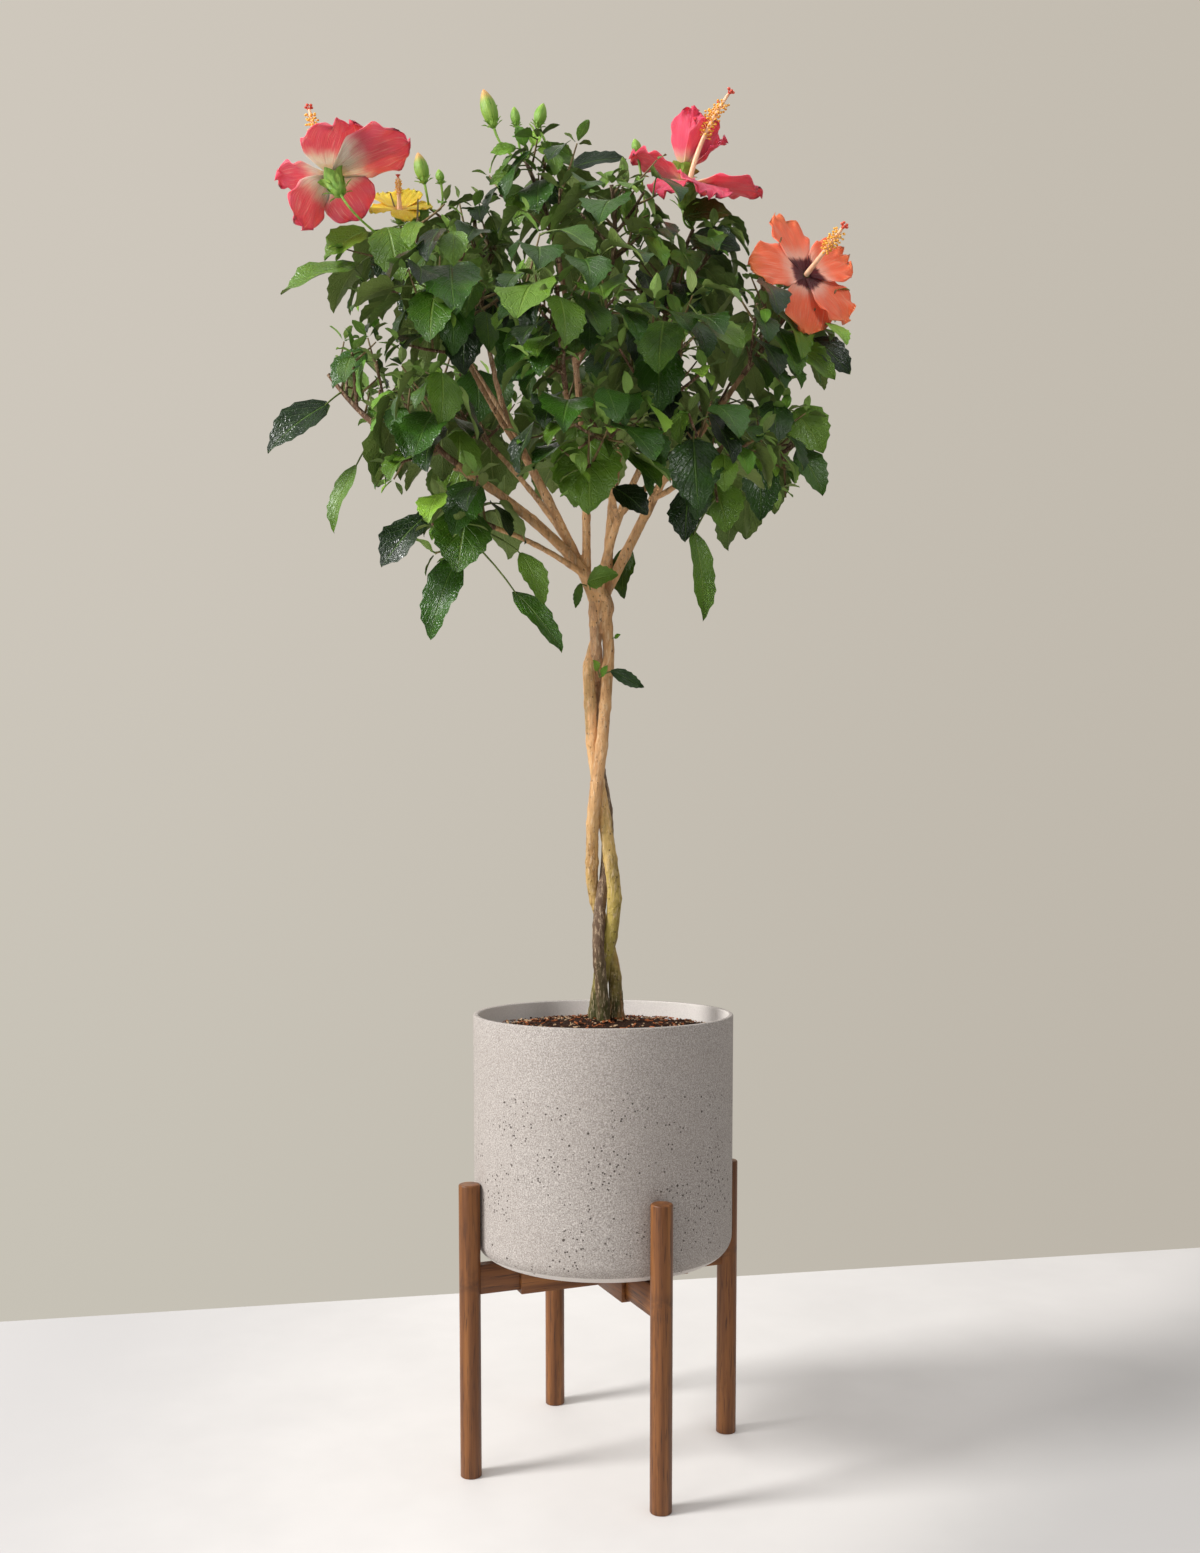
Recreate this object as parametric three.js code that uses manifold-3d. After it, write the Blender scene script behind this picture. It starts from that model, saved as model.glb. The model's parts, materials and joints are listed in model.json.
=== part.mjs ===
// Hibiscus standard: a plaited trunk of three stems under a round crown,
// planted in a plain cement cylinder that stands in a four-legged wooden stand.
// Millimetres. The origin is on the floor under the middle of the pot.
// +X is to the right and +Y away from the viewer when the plant is seen from its front; +Z is up.

import * as THREE from 'three';
import Module from 'manifold-3d';

const wasm = await Module();
wasm.setup();

// Pot and soil.
const clearance = 0.3;
const potRadius = 142.5;
const potBaseHeight = 232.7;
const potRimHeight = 497.6;
const potWall = 5.5;
const potFloor = 9;
const potEdgeRadius = 22;
const potRimRounding = 1.2;
const potSides = 40;
const soilWallHeight = 479;
const soilMoundHeight = 491;
const soilPlateauRadius = 30;
// The slope between wall and plateau: shares of the wall's radius and of the rise.
const soilSlope = [[0.66, 0.3], [0.36, 0.8]];

// Stand.
const legRadius = 11.5;
const legHeight = 320.5;
const legCircleRadius = 154.8;
const legTurn = 22.3;
const legSides = 12;
const legEdge = 2;
const barTop = potBaseHeight - clearance;
const sleeveHeight = 36;
const sleeveWidth = 22;
const sliderHeight = 32;
const sliderWidth = 12;
const channelWidth = sliderWidth + 2 * clearance;
const channelDepth = sliderHeight + clearance;
const channelStart = 26;
const wideSleeveReach = 100;
const deepSleeveReach = 78;
const sliderPlay = 6;
const slotLap = sleeveHeight / 2;
const overshoot = 1;

// Trunk. Each row of a stem's path is height, sideways place and depth.
const stemSides = 7;
const stemStep = 19;
const forkHeight = 946;
const rootFlare = 1.16;
const flareRise = 45;
const stemLean = 4;
// Plaiting: rounds of pressing apart, of which the first also ease the paths; the room for the
// corners of a stem; and how much of a push goes sideways and how much in depth.
const plaitRounds = 60;
const easingRounds = 40;
const easingShare = 0.16;
const cornerRoom = 1.045;
const pushShares = [0.6, 1.4];
const stemPaths = {
  brown: [
    [491, 2, -3], [534, -1, -8], [567, -4, -5], [605, -5, -8], [640, -2, 2], [698, 13, 9],
    [747, 3, 12], [774, -13, 12], [817, -21, 10], [849, -12, 9], [892, -1, -5], [925, -8, 2],
    [946, -12, 8],
  ],
  olive: [
    [491, -13, 3], [534, -3, 8], [567, 8, -5], [605, 11, -1], [640, 10, -7], [698, 4, -3],
    [747, -6, 2], [774, -10, 0], [817, -14, -4], [849, -14, -5], [892, -12, 2], [925, 2, 8],
    [946, 8, 4],
  ],
  tan: [
    [491, 16, 2], [534, 13, 3], [567, 8, 9], [605, -6, 8], [640, -13, 1], [698, -12, -4],
    [747, -8, -9], [774, -4, -8], [817, 1, -4], [849, 1, -2], [892, 8, -1], [925, 0, -8],
    [946, -8, -8],
  ],
};
const stemRadii = {
  brown: [6.8, 6.0],
  olive: [8.3, 6.2],
  tan: [7.4, 6.2],
};

// Boughs: the limb each one leaves, how far along it, its tip, how its middle is bowed
// away from a straight line, and its radius at both ends.
const boughSides = 5;
const boughRings = 5;
const boughs = {
  far_left: { parent: 'tan', at: 1, tip: [-214, -10, 1109], bow: [25, 0, 30], radii: [6.2, 3.6] },
  right: { parent: 'olive', at: 1, tip: [60, -4, 1064], bow: [-2, -4, -4], radii: [6.2, 5.0] },
  upper_left: { parent: 'brown', at: 1, tip: [-170, 6, 1235], bow: [14, 8, 12], radii: [6.0, 3.4] },
  left_front: { parent: 'far_left', at: 0.24, tip: [-150, -72, 1070], bow: [-6, -6, 10], radii: [4.3, 3.0] },
  left_low: { parent: 'far_left', at: 0.1, tip: [-112, -62, 1008], bow: [4, -4, 8], radii: [3.6, 2.6] },
  spire: { parent: 'upper_left', at: 0.06, tip: [-47, 0, 1298], bow: [18, 2, 10], radii: [5.0, 2.8] },
  top_left: { parent: 'upper_left', at: 0.6, tip: [-130, 44, 1252], bow: [-4, 8, -4], radii: [3.6, 2.6] },
  mid_left: { parent: 'upper_left', at: 0.5, tip: [-138, -66, 1172], bow: [-2, -8, -6], radii: [3.4, 2.5] },
  right_front: { parent: 'far_left', at: 0.04, tip: [52, -52, 1095], bow: [-12, -6, 8], radii: [5.2, 3.2] },
  back_top: { parent: 'right', at: 0.1, tip: [24, 84, 1150], bow: [-8, -14, 14], radii: [5.6, 3.4] },
  right_flower: { parent: 'right', at: 1, tip: [148, -14, 1178], bow: [-4, 0, -8], radii: [4.2, 2.8] },
  far_right: { parent: 'right_flower', at: 0.1, tip: [150, 8, 1084], bow: [2, 6, -8], radii: [3.8, 2.8] },
  top_right: { parent: 'right_flower', at: 0.06, tip: [66, 30, 1240], bow: [-6, 14, -9], radii: [3.8, 2.8] },
  right_low: { parent: 'right', at: 0.9, tip: [96, -76, 1064], bow: [0, -6, -6], radii: [3.4, 2.6] },
  back_left: { parent: 'upper_left', at: 0.2, tip: [-120, 112, 1130], bow: [8, 6, 0], radii: [4.0, 2.8] },
  back_centre: { parent: 'back_top', at: 0.5, tip: [-28, 142, 1158], bow: [-6, 6, 4], radii: [3.6, 2.6] },
  back_right: { parent: 'back_top', at: 0.36, tip: [98, 124, 1146], bow: [4, 4, 4], radii: [3.8, 2.7] },
  centre_front: { parent: 'spire', at: 0.3, tip: [-38, -100, 1136], bow: [-4, -8, -6], radii: [3.4, 2.6] },
  centre_low: { parent: 'right_front', at: 0.45, tip: [4, -104, 1062], bow: [0, -6, -8], radii: [3.2, 2.5] },
  top_centre: { parent: 'spire', at: 0.66, tip: [6, -36, 1272], bow: [2, -6, -8], radii: [3.0, 2.4] },
};

// Foliage masses: the limb whose tip feeds each one, where its leading twig ends,
// how many side twigs it carries and how long they are.
const masses = {
  far_left: { bough: 'far_left', crest: [-292, -8, 1180], twigs: 5, spread: 68, seed: 11 },
  left_front: { bough: 'left_front', crest: [-205, -104, 1112], twigs: 4, spread: 58, seed: 12 },
  left_low: { bough: 'left_low', crest: [-168, -92, 1030], twigs: 4, spread: 50, seed: 13 },
  upper_left: { bough: 'upper_left', crest: [-228, -4, 1318], twigs: 5, spread: 70, seed: 14 },
  top_left: { bough: 'top_left', crest: [-140, 34, 1370], twigs: 5, spread: 68, seed: 15 },
  mid_left: { bough: 'mid_left', crest: [-172, -120, 1240], twigs: 5, spread: 64, seed: 16 },
  spire: { bough: 'spire', crest: [-82, 0, 1402], twigs: 4, spread: 52, seed: 17 },
  top_centre: { bough: 'top_centre', crest: [8, -66, 1348], twigs: 4, spread: 62, seed: 18 },
  top_right: { bough: 'top_right', crest: [96, 12, 1338], twigs: 5, spread: 68, seed: 19 },
  right_front: { bough: 'right_front', crest: [76, -98, 1208], twigs: 5, spread: 68, seed: 20 },
  right_flower: { bough: 'right_flower', crest: [194, -18, 1238], twigs: 5, spread: 64, seed: 21 },
  far_right: { bough: 'far_right', crest: [216, 6, 1118], twigs: 5, spread: 64, seed: 22 },
  right_low: { bough: 'right_low', crest: [124, -124, 1062], twigs: 4, spread: 58, seed: 23 },
  centre_front: { bough: 'centre_front', crest: [-44, -176, 1206], twigs: 5, spread: 68, seed: 24 },
  centre_low: { bough: 'centre_low', crest: [-12, -164, 1086], twigs: 4, spread: 56, seed: 25 },
  back_left: { bough: 'back_left', crest: [-186, 164, 1198], twigs: 5, spread: 78, seed: 26 },
  back_centre: { bough: 'back_centre', crest: [-48, 216, 1234], twigs: 5, spread: 78, seed: 27 },
  back_right: { bough: 'back_right', crest: [146, 184, 1204], twigs: 5, spread: 78, seed: 28 },
  back_top: { bough: 'back_top', crest: [36, 118, 1290], twigs: 5, spread: 74, seed: 29 },
};

// Leaves.
const leafLength = 84;
// Leaves get smaller over the last part of the way to the top.
const smallLeafHeight = 1330;
const smallLeafRise = 80;
const smallLeafLoss = 0.45;
const leafAspect = 0.66;
const leafThickness = 1.3;
// A blade rises and falls along its length and folds up a little along its middle.
const bladeRise = 0.15;
const bladeFall = 0.186;
const bladeFold = 0.12;
// A line that passes this near outside a blade's rim, as shares, still counts as cutting it.
const endRoom = 0.06;
const sideRoom = 0.12;
const petioleLength = 30;
const petioleRadius = 0.9;
const leaderSwell = 1.15;
const leaderTipRadius = 2.6;
const twigFootRadius = 1.9;
const twigTipRadius = 1.6;
const twigSides = 3;
const nodeSpacing = 16;
const nodeTurn = 120;
// Side twigs: where they leave the leading twig, how much they carry its heading on and rise,
// their reach at its foot and the loss towards its tip, their sag, and how often one is tried
// again, each time shorter.
const sideTwigStart = 0.12;
const sideTwigSpan = 0.76;
const sideTwigForward = 0.55;
const sideTwigRise = 0.15;
const sideTwigReach = [1.15, 0.45];
const sideTwigSag = 0.06;
const sideTwigTries = 4;
const sideTwigShrink = 0.72;
// Leaves: smallest size and spread of sizes, least droop and its spread, spread of roll, share
// of a last leaf, and how often one is tried again, each time a little smaller.
const leafSizes = [0.72, 0.4];
const leafDroop = [18, 46];
const leafRoll = 36;
const endLeafShare = 0.62;
const leafTries = 14;
const leafShrink = 0.035;
const lastLeafPlace = 0.96;
// A leaf's stalk: how far it carries the twig's heading on, swings outward and sags.
const stalkForward = 0.4;
const stalkOutward = 0.25;
const bladeOutward = 0.6;
const stalkSag = 0.12;
// The middle of a mass lies this far from its bough's tip to its crest.
const crestShare = 0.55;
const cellMargin = 1.2;
const limbMargin = 1.4;

// The crown seen from the front, as its reach every 20 degrees round its middle.
const crownMiddle = [-35, 0, 1198];
const crownDepth = 300;
const crownReach = [
  296, 296, 262, 262, 244, 255, 262, 270, 290, 262, 224, 270, 280, 215, 205, 265, 270, 285,
];

// Single leaves that stand out from the crown: root, tip, width, and how far the leaf is turned
// from level (0) to facing the front (1).
const loneLeaves = [
  // Far left.
  [[-290, -20, 1146], [-355, -34, 1097], 40, 0.6],
  [[-262, -14, 1084], [-292, -26, 1016], 28, 0.3],
  [[-250, -20, 1200], [-286, -30, 1162], 34, 0.5],
  // Upper left.
  [[-262, -8, 1292], [-342, -14, 1266], 42, 0.35],
  [[-250, -8, 1328], [-294, -18, 1296], 42, 0.5],
  [[-222, -48, 1314], [-208, -62, 1258], 48, 0.9],
  // Lower left.
  [[-182, -76, 1016], [-226, -94, 966], 44, 0.5],
  [[-150, -60, 980], [-182, -76, 896], 40, 0.6],
  [[-140, -84, 1020], [-146, -110, 956], 58, 0.95],
  [[-130, -96, 1046], [-150, -124, 990], 40, 0.6],
  [[-84, -94, 976], [-58, -100, 926], 28, 0.5],
  [[-92, -80, 940], [-40, -96, 880], 28, 0.5],
  // Top.
  [[-60, -20, 1400], [-30, -30, 1384], 24, 0.4],
  [[-36, 8, 1398], [24, 12, 1414], 26, 0.5],
  [[92, -10, 1318], [142, -28, 1302], 36, 0.6],
  [[84, -6, 1342], [138, -2, 1352], 38, 0.5],
  // Right.
  [[221, -10, 1216], [262, -16, 1181], 34, 0.5],
  [[198, -20, 1206], [244, -30, 1172], 32, 0.5],
  [[203, -8, 1143], [234, -18, 1099], 44, 0.8],
  [[208, 0, 1104], [236, -12, 1056], 34, 0.6],
  [[164, -16, 1088], [168, -22, 1026], 40, 0.6],
  [[152, -24, 1228], [136, -44, 1190], 32, 0.6],
  // Front.
  [[-3, -110, 1219], [-44, -126, 1162], 56, 0.9],
  [[-57, -104, 1201], [-102, -118, 1136], 54, 0.9],
  // Lower right and middle.
  [[90, -92, 998], [106, -98, 910], 30, 0.4],
  [[112, -80, 1050], [126, -94, 1000], 46, 0.6],
  [[88, -122, 1080], [92, -146, 1008], 52, 0.9],
  [[-14, -130, 1078], [-14, -158, 1004], 62, 0.9],
  [[10, -118, 1034], [44, -126, 1008], 34, 0.6],
];

// Petals: thickness, the throat they start from and the outline they share, as places along
// and across. A row of a flower's petals is the way a petal points, its length and width, and
// how far it is tilted forward at its throat and at its rim, in degrees.
const petalThickness = 1.6;
const petalSteps = 22;
const throatRadius = 3.5;
const throatDepth = 0.1;
const petalOutline = [[0, -0.16], [0.6, -1], [0.92, -0.76], [1, 0], [0.92, 0.76], [0.6, 1], [0, 0.16]];
const petalRidge = 0.5;
const columnRadii = [2.8, 2.2];
const flowers = {
  pink_left: {
    mass: 'upper_left', middle: [-284, -34, 1377], axis: [-0.42, 0.28, 0.86], calyx: [30, 8],
    column: [-307, -14, 1447],
    petals: [
      [[1, -0.3, -0.16], 86, 62, 4, -20],
      [[0.5, -1, 0.3], 56, 68, 8, 2],
      [[-1, 0.1, 0], 56, 40, 22, 34],
      [[-1, 0.4, -0.5], 60, 48, 0, -52],
      [[0.4, 0.9, -0.3], 54, 52, 0, -46],
    ],
  },
  yellow: {
    mass: 'upper_left', middle: [-217, 8, 1360], axis: [0.05, -0.6, 0.8], calyx: [16, 5],
    column: [-216, -8, 1382],
    petals: [
      [[1, 0, 0.2], 32, 30, 16, -4],
      [[0.3, 0.6, 1], 36, 30, 30, 10],
      [[-0.7, 0.4, 1], 34, 30, 26, 4],
      [[-1, 0, -0.6], 30, 28, 12, -16],
      [[0.4, -0.5, -1], 30, 28, 10, -24],
    ],
  },
  coral_right: {
    mass: 'top_right', middle: [92, 0, 1386], axis: [0.2, -0.1, 0.97], calyx: [30, 8],
    column: [130, -20, 1460],
    petals: [
      [[-1, 0, 0.2], 66, 54, 20, 8],
      [[-0.5, -0.8, 0], 56, 44, -10, -60],
      [[0.4, -0.9, 0], 58, 54, 0, -50],
      [[1, 0, -0.3], 76, 56, 12, -4],
      [[0.1, 1, 0.1], 60, 54, 20, 4],
    ],
  },
  closed: {
    mass: 'top_right', middle: [88, 16, 1408], axis: [0.24, -0.05, 0.97], calyx: [16, 9],
    column: [120, -2, 1456],
    petals: [
      [[-1, -0.3, 0], 62, 32, 84, 94],
      [[-0.3, -1, 0], 58, 36, 74, 84],
      [[0.8, -0.7, 0], 54, 36, 64, 58],
      [[1, 0.4, 0], 56, 34, 56, 50],
      [[0, 1, 0], 56, 34, 74, 76],
    ],
  },
  orange: {
    mass: 'right_flower', middle: [213, -40, 1274], axis: [0.46, -0.8, 0.39], calyx: [26, 7],
    column: [239, -86, 1297],
    petals: [
      [[-1, 0, -0.12], 64, 50, 8, -22],
      [[-0.3, 0, 1], 72, 42, 12, -10],
      [[1, 0, 0.7], 56, 46, 26, 4],
      [[1, 0, -0.9], 62, 50, 14, -14],
      [[-0.1, 0, -1], 64, 54, 4, -28],
    ],
  },
};

// Buds: foot, tip and greatest radius.
const budSides = 5;
const budShares = [0.45, 1, 0.72, 0.16];
const stalkRadius = 1.4;
const buds = {
  spire_tall: { mass: 'spire', foot: [-116, -4, 1437], tip: [-126, -6, 1472], radius: 8.5 },
  spire_middle: { mass: 'spire', foot: [-92, -2, 1438], tip: [-94, -3, 1456], radius: 5 },
  spire_right: { mass: 'spire', foot: [-69, 0, 1439], tip: [-63, 0, 1461], radius: 6.5 },
  left_top: { mass: 'top_left', foot: [-190, 2, 1383], tip: [-196, 0, 1411], radius: 7.5 },
};

// Flowers and buds face the front, where no leaf hangs before them.
const frontPlace = [0, -1540, 674];
const openSpace = 220;

const colours = {
  pot: 0xbfb8b1,
  soil: 0x3d2a1d,
  wood: 0x7d5233,
  leaf: 0x2c5527,
  limb: 0xa98763,
  brown: 0x7b6148,
  olive: 0x8c8552,
  tan: 0xb59468,
};

// Vector arithmetic on plain triples.
const add = (a, b) => [a[0] + b[0], a[1] + b[1], a[2] + b[2]];
const minus = (a, b) => [a[0] - b[0], a[1] - b[1], a[2] - b[2]];
const scale = (a, k) => [a[0] * k, a[1] * k, a[2] * k];
const dot = (a, b) => a[0] * b[0] + a[1] * b[1] + a[2] * b[2];
const cross = (a, b) => [
  a[1] * b[2] - a[2] * b[1],
  a[2] * b[0] - a[0] * b[2],
  a[0] * b[1] - a[1] * b[0],
];
const length = (a) => Math.sqrt(dot(a, a));
const unit = (a) => scale(a, 1 / length(a));
const mix = (a, b, k) => add(scale(a, 1 - k), scale(b, k));
const along = (origin, direction, k) => add(origin, scale(direction, k));
const radians = (degrees) => (degrees * Math.PI) / 180;

// A repeatable stream of numbers from 0 to 1.
function randomStream(seed) {
  let state = seed * 2654435 + 12345;
  return () => {
    state = (state + 0x6d2b79f5) >>> 0;
    let t = state;
    t = Math.imul(t ^ (t >>> 15), t | 1);
    t ^= t + Math.imul(t ^ (t >>> 7), t | 61);
    return ((t ^ (t >>> 14)) >>> 0) / 4294967296;
  };
}

// A closed solid from its corners and faces, turned right side out.
function solid(corners, faces) {
  const triangles = [];
  faces.forEach((face) => {
    for (let i = 1; i < face.length - 1; i += 1) {
      triangles.push([face[0], face[i], face[i + 1]]);
    }
  });
  let volume = 0;
  triangles.forEach(([a, b, c]) => {
    volume += dot(corners[a], cross(corners[b], corners[c]));
  });
  const order = volume < 0 ? triangles.map(([a, b, c]) => [a, c, b]) : triangles;
  return new wasm.Manifold(new wasm.Mesh({
    numProp: 3,
    vertProperties: Float32Array.from(corners.flat()),
    triVerts: Uint32Array.from(order.flat()),
  }));
}

// A solid through a stack of rings with the same number of corners, flat at both ends.
function stack(rings) {
  const count = rings[0].length;
  const faces = [];
  rings.slice(1).forEach((ring, row) => {
    for (let i = 0; i < count; i += 1) {
      const a = row * count + i;
      const b = row * count + ((i + 1) % count);
      faces.push([a, b, b + count, a + count]);
    }
  });
  faces.push(Array.from({ length: count }, (_, i) => count - 1 - i));
  faces.push(Array.from({ length: count }, (_, i) => (rings.length - 1) * count + i));
  return solid(rings.flat(), faces);
}

function levelRing(radius, height, sides, centre = [0, 0], turn = 0) {
  return Array.from({ length: sides }, (_, i) => {
    const angle = turn + (2 * Math.PI * i) / sides;
    return [centre[0] + radius * Math.cos(angle), centre[1] + radius * Math.sin(angle), height];
  });
}

// The two directions square to a line at each of its points, carried along without twisting.
function frameLine(points) {
  let side = Math.abs(unit(minus(points[1], points[0]))[2]) > 0.9 ? [1, 0, 0] : [0, 0, 1];
  return points.map((_, i) => {
    const before = points[Math.max(i - 1, 0)];
    const after = points[Math.min(i + 1, points.length - 1)];
    const heading = unit(minus(after, before));
    side = unit(minus(side, scale(heading, dot(side, heading))));
    return [side, cross(heading, side)];
  });
}

const spoke = ([side, other], angle) => (
  add(scale(side, Math.cos(angle)), scale(other, Math.sin(angle)))
);

// A tapering tube along a line of points, its rings square to the line.
function tube(points, radii, sides) {
  const frames = frameLine(points);
  return stack(points.map((point, i) => Array.from({ length: sides }, (_, k) => (
    along(point, spoke(frames[i], (2 * Math.PI * k) / sides), radii[i])
  ))));
}

function box(size, centre) {
  const [dx, dy, dz] = size.map((value) => value / 2);
  const ring = (height) => [[-dx, -dy], [dx, -dy], [dx, dy], [-dx, dy]].map(
    ([x, y]) => [centre[0] + x, centre[1] + y, height],
  );
  return stack([ring(centre[2] - dz), ring(centre[2] + dz)]);
}

function largestPiece(shape) {
  return shape.decompose().reduce((best, piece) => (piece.volume() > best.volume() ? piece : best));
}

// The pot: outside up from the flat base, over the rim and down inside to its floor.
function makePot() {
  const outside = [0, 30, 60, 90].map((angle) => [
    potRadius - potEdgeRadius + potEdgeRadius * Math.sin(radians(angle)),
    potBaseHeight + potEdgeRadius - potEdgeRadius * Math.cos(radians(angle)),
  ]);
  const rim = [
    [potRadius, potRimHeight - potRimRounding],
    [potRadius - potRimRounding, potRimHeight],
    [potRadius - potWall + potRimRounding, potRimHeight],
    [potRadius - potWall, potRimHeight - potRimRounding],
  ];
  return stack([...outside, ...rim, ...potInside(0)].map(
    ([radius, height]) => levelRing(radius, height, potSides),
  ));
}

// The inside of the pot from its wall down to its floor, moved in by a gap.
function potInside(gap) {
  const edge = potEdgeRadius - potWall;
  return [90, 45, 0].map((angle) => [
    potRadius - potWall - gap - edge + edge * Math.sin(radians(angle)),
    potBaseHeight + potFloor + gap + edge - edge * Math.cos(radians(angle)),
  ]);
}

// The soil fills the pot and rises in a low mound to the foot of the trunk.
function makeSoil() {
  const wallRadius = potRadius - potWall - clearance;
  const rise = soilMoundHeight - soilWallHeight;
  const top = [
    [wallRadius, soilWallHeight],
    ...soilSlope.map(([out, up]) => [wallRadius * out, soilWallHeight + rise * up]),
    [soilPlateauRadius, soilMoundHeight],
  ];
  return stack([...potInside(clearance).reverse(), ...top].map(
    ([radius, height]) => levelRing(radius, height, potSides),
  ));
}

const legAngles = { left: 180, front: 270, right: 0, back: 90 };
const legPlace = (name, radius = legCircleRadius) => {
  const angle = radians(legAngles[name] + legTurn);
  return [radius * Math.cos(angle), radius * Math.sin(angle)];
};

function makeLeg(name, extra = 0) {
  const ring = (radius, height) => levelRing(radius + extra, height, legSides, legPlace(name));
  return stack([
    ring(legRadius - legEdge / 2, 0),
    ring(legRadius, legEdge / 2),
    ring(legRadius, legHeight - legEdge),
    ring(legRadius - legEdge, legHeight),
  ]);
}

// A sleeve bar under the pot, open on top as a channel for a slider at each end.
function makeSleeve(reach, legName, lapFromTop) {
  const middle = barTop - sleeveHeight / 2;
  let bar = box([2 * reach, sleeveWidth, sleeveHeight], [0, 0, middle]);
  [-1, 1].forEach((end) => {
    const run = reach - channelStart;
    bar = bar.subtract(box(
      [run + overshoot, channelWidth, channelDepth + overshoot],
      [end * (channelStart + (run + overshoot) / 2), 0, barTop - (channelDepth - overshoot) / 2],
    ));
  });
  const lapHeight = slotLap + clearance / 2;
  const lapMiddle = lapFromTop
    ? barTop - (lapHeight - overshoot) / 2
    : barTop - sleeveHeight + (lapHeight - overshoot) / 2;
  const lap = box(
    [sleeveWidth + 2 * clearance, sleeveWidth + overshoot, lapHeight + overshoot],
    [0, 0, lapMiddle],
  );
  return bar.subtract(lap).rotate([0, 0, legAngles[legName] + legTurn]);
}

// A slider runs in its sleeve and ends in a hollow that fits round the leg.
function makeSlider(name) {
  const start = channelStart + sliderPlay;
  const end = legCircleRadius - legRadius / 2;
  const bar = box([end - start, sliderWidth, sliderHeight],
    [(start + end) / 2, 0, barTop - sliderHeight / 2]);
  return bar.rotate([0, 0, legAngles[name] + legTurn]).subtract(makeLeg(name, clearance));
}

// The place along a row of points at a share of its length, eased through every point.
function smoothPlace(rows, share) {
  const last = rows.length - 1;
  const position = Math.min(Math.max(share, 0), 1) * last;
  const i = Math.min(Math.floor(position), last - 1);
  const k = position - i;
  const p0 = rows[Math.max(i - 1, 0)];
  const p1 = rows[i];
  const p2 = rows[i + 1];
  const p3 = rows[Math.min(i + 2, last)];
  return p1.map((_, axis) => {
    const slope1 = (p2[axis] - p0[axis]) / 2;
    const slope2 = (p3[axis] - p1[axis]) / 2;
    const rise = p2[axis] - p1[axis];
    return p1[axis] + slope1 * k + (3 * rise - 2 * slope1 - slope2) * k * k
      + (slope1 + slope2 - 2 * rise) * k * k * k;
  });
}

function stemAt(rows, height) {
  let low = 0;
  let high = 1;
  for (let i = 0; i < 40; i += 1) {
    const middle = (low + high) / 2;
    if (smoothPlace(rows, middle)[0] < height) {
      low = middle;
    } else {
      high = middle;
    }
  }
  return smoothPlace(rows, low);
}

// The three stems, pressed apart level by level until they only touch.
function plaitStems() {
  const names = Object.keys(stemPaths);
  const ground = soilMoundHeight + clearance;
  const levels = Math.round((forkHeight - ground) / stemStep);
  const stems = Object.fromEntries(names.map((name) => [name, { points: [], radii: [] }]));
  for (let level = 0; level <= levels; level += 1) {
    const share = level / levels;
    const height = ground + (forkHeight - ground) * share;
    const rise = height - ground;
    const flare = 1 + (rootFlare - 1) * Math.max(0, 1 - rise / flareRise);
    names.forEach((name) => {
      const [, x, y] = stemAt(stemPaths[name], height);
      const [foot, top] = stemRadii[name];
      stems[name].points.push([x, y + stemLean, height]);
      stems[name].radii.push((foot + (top - foot) * share) * flare);
    });
  }
  for (let round = 0; round < plaitRounds; round += 1) {
    for (let level = 0; level <= levels; level += 1) {
      names.forEach((name, i) => names.slice(i + 1).forEach((other) => {
        const a = stems[name];
        const b = stems[other];
        const apart = minus(b.points[level], a.points[level]);
        const gap = Math.hypot(apart[0], apart[1]);
        const wanted = (a.radii[level] + b.radii[level]) * cornerRoom + clearance;
        if (gap < wanted) {
          const push = (wanted - gap) / 2 / Math.max(gap, 0.5);
          const shift = [apart[0] * push * pushShares[0], apart[1] * push * pushShares[1], 0];
          a.points[level] = minus(a.points[level], shift);
          b.points[level] = add(b.points[level], shift);
        }
      }));
    }
    if (round < easingRounds) {
      names.forEach((name) => {
        const { points } = stems[name];
        stems[name].points = points.map((point, level) => {
          const before = points[Math.max(level - 1, 0)];
          const after = points[Math.min(level + 1, levels)];
          const easy = mix(point, scale(add(before, after), 0.5), easingShare);
          return [easy[0], easy[1], point[2]];
        });
      });
    }
  }
  return stems;
}

const stems = plaitStems();

// A stem as a solid: level rings, so that its foot and its top are flat.
function stemSolid(name, extra = 0) {
  const { points, radii } = stems[name];
  return stack(points.map((point, i) => (
    levelRing(radii[i] + extra, point[2], stemSides, [point[0], point[1]])
  )));
}

// Every limb as a row of points and radii; a bough is one bowed curve.
const limbs = {};
Object.entries(stems).forEach(([name, stem]) => {
  limbs[name] = { points: stem.points, radii: stem.radii };
});

function limbPlace(name, share) {
  const { points } = limbs[name];
  const position = share * (points.length - 1);
  const i = Math.min(Math.floor(position), points.length - 2);
  return mix(points[i], points[i + 1], position - i);
}

Object.entries(boughs).forEach(([name, bough]) => {
  let start = limbPlace(bough.parent, bough.at);
  if (bough.at === 1) {
    const [below, top] = limbs[bough.parent].points.slice(-2);
    start = along(top, bough.parent in stems ? [0, 0, 1] : unit(minus(top, below)), clearance);
  }
  const control = add(mix(start, bough.tip, 0.5), bough.bow);
  const points = [];
  const radii = [];
  for (let i = 0; i < boughRings; i += 1) {
    const t = i / (boughRings - 1);
    points.push(mix(mix(start, control, t), mix(control, bough.tip, t), t));
    radii.push(bough.radii[0] + (bough.radii[1] - bough.radii[0]) * t);
  }
  limbs[name] = { points, radii };
});

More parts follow.
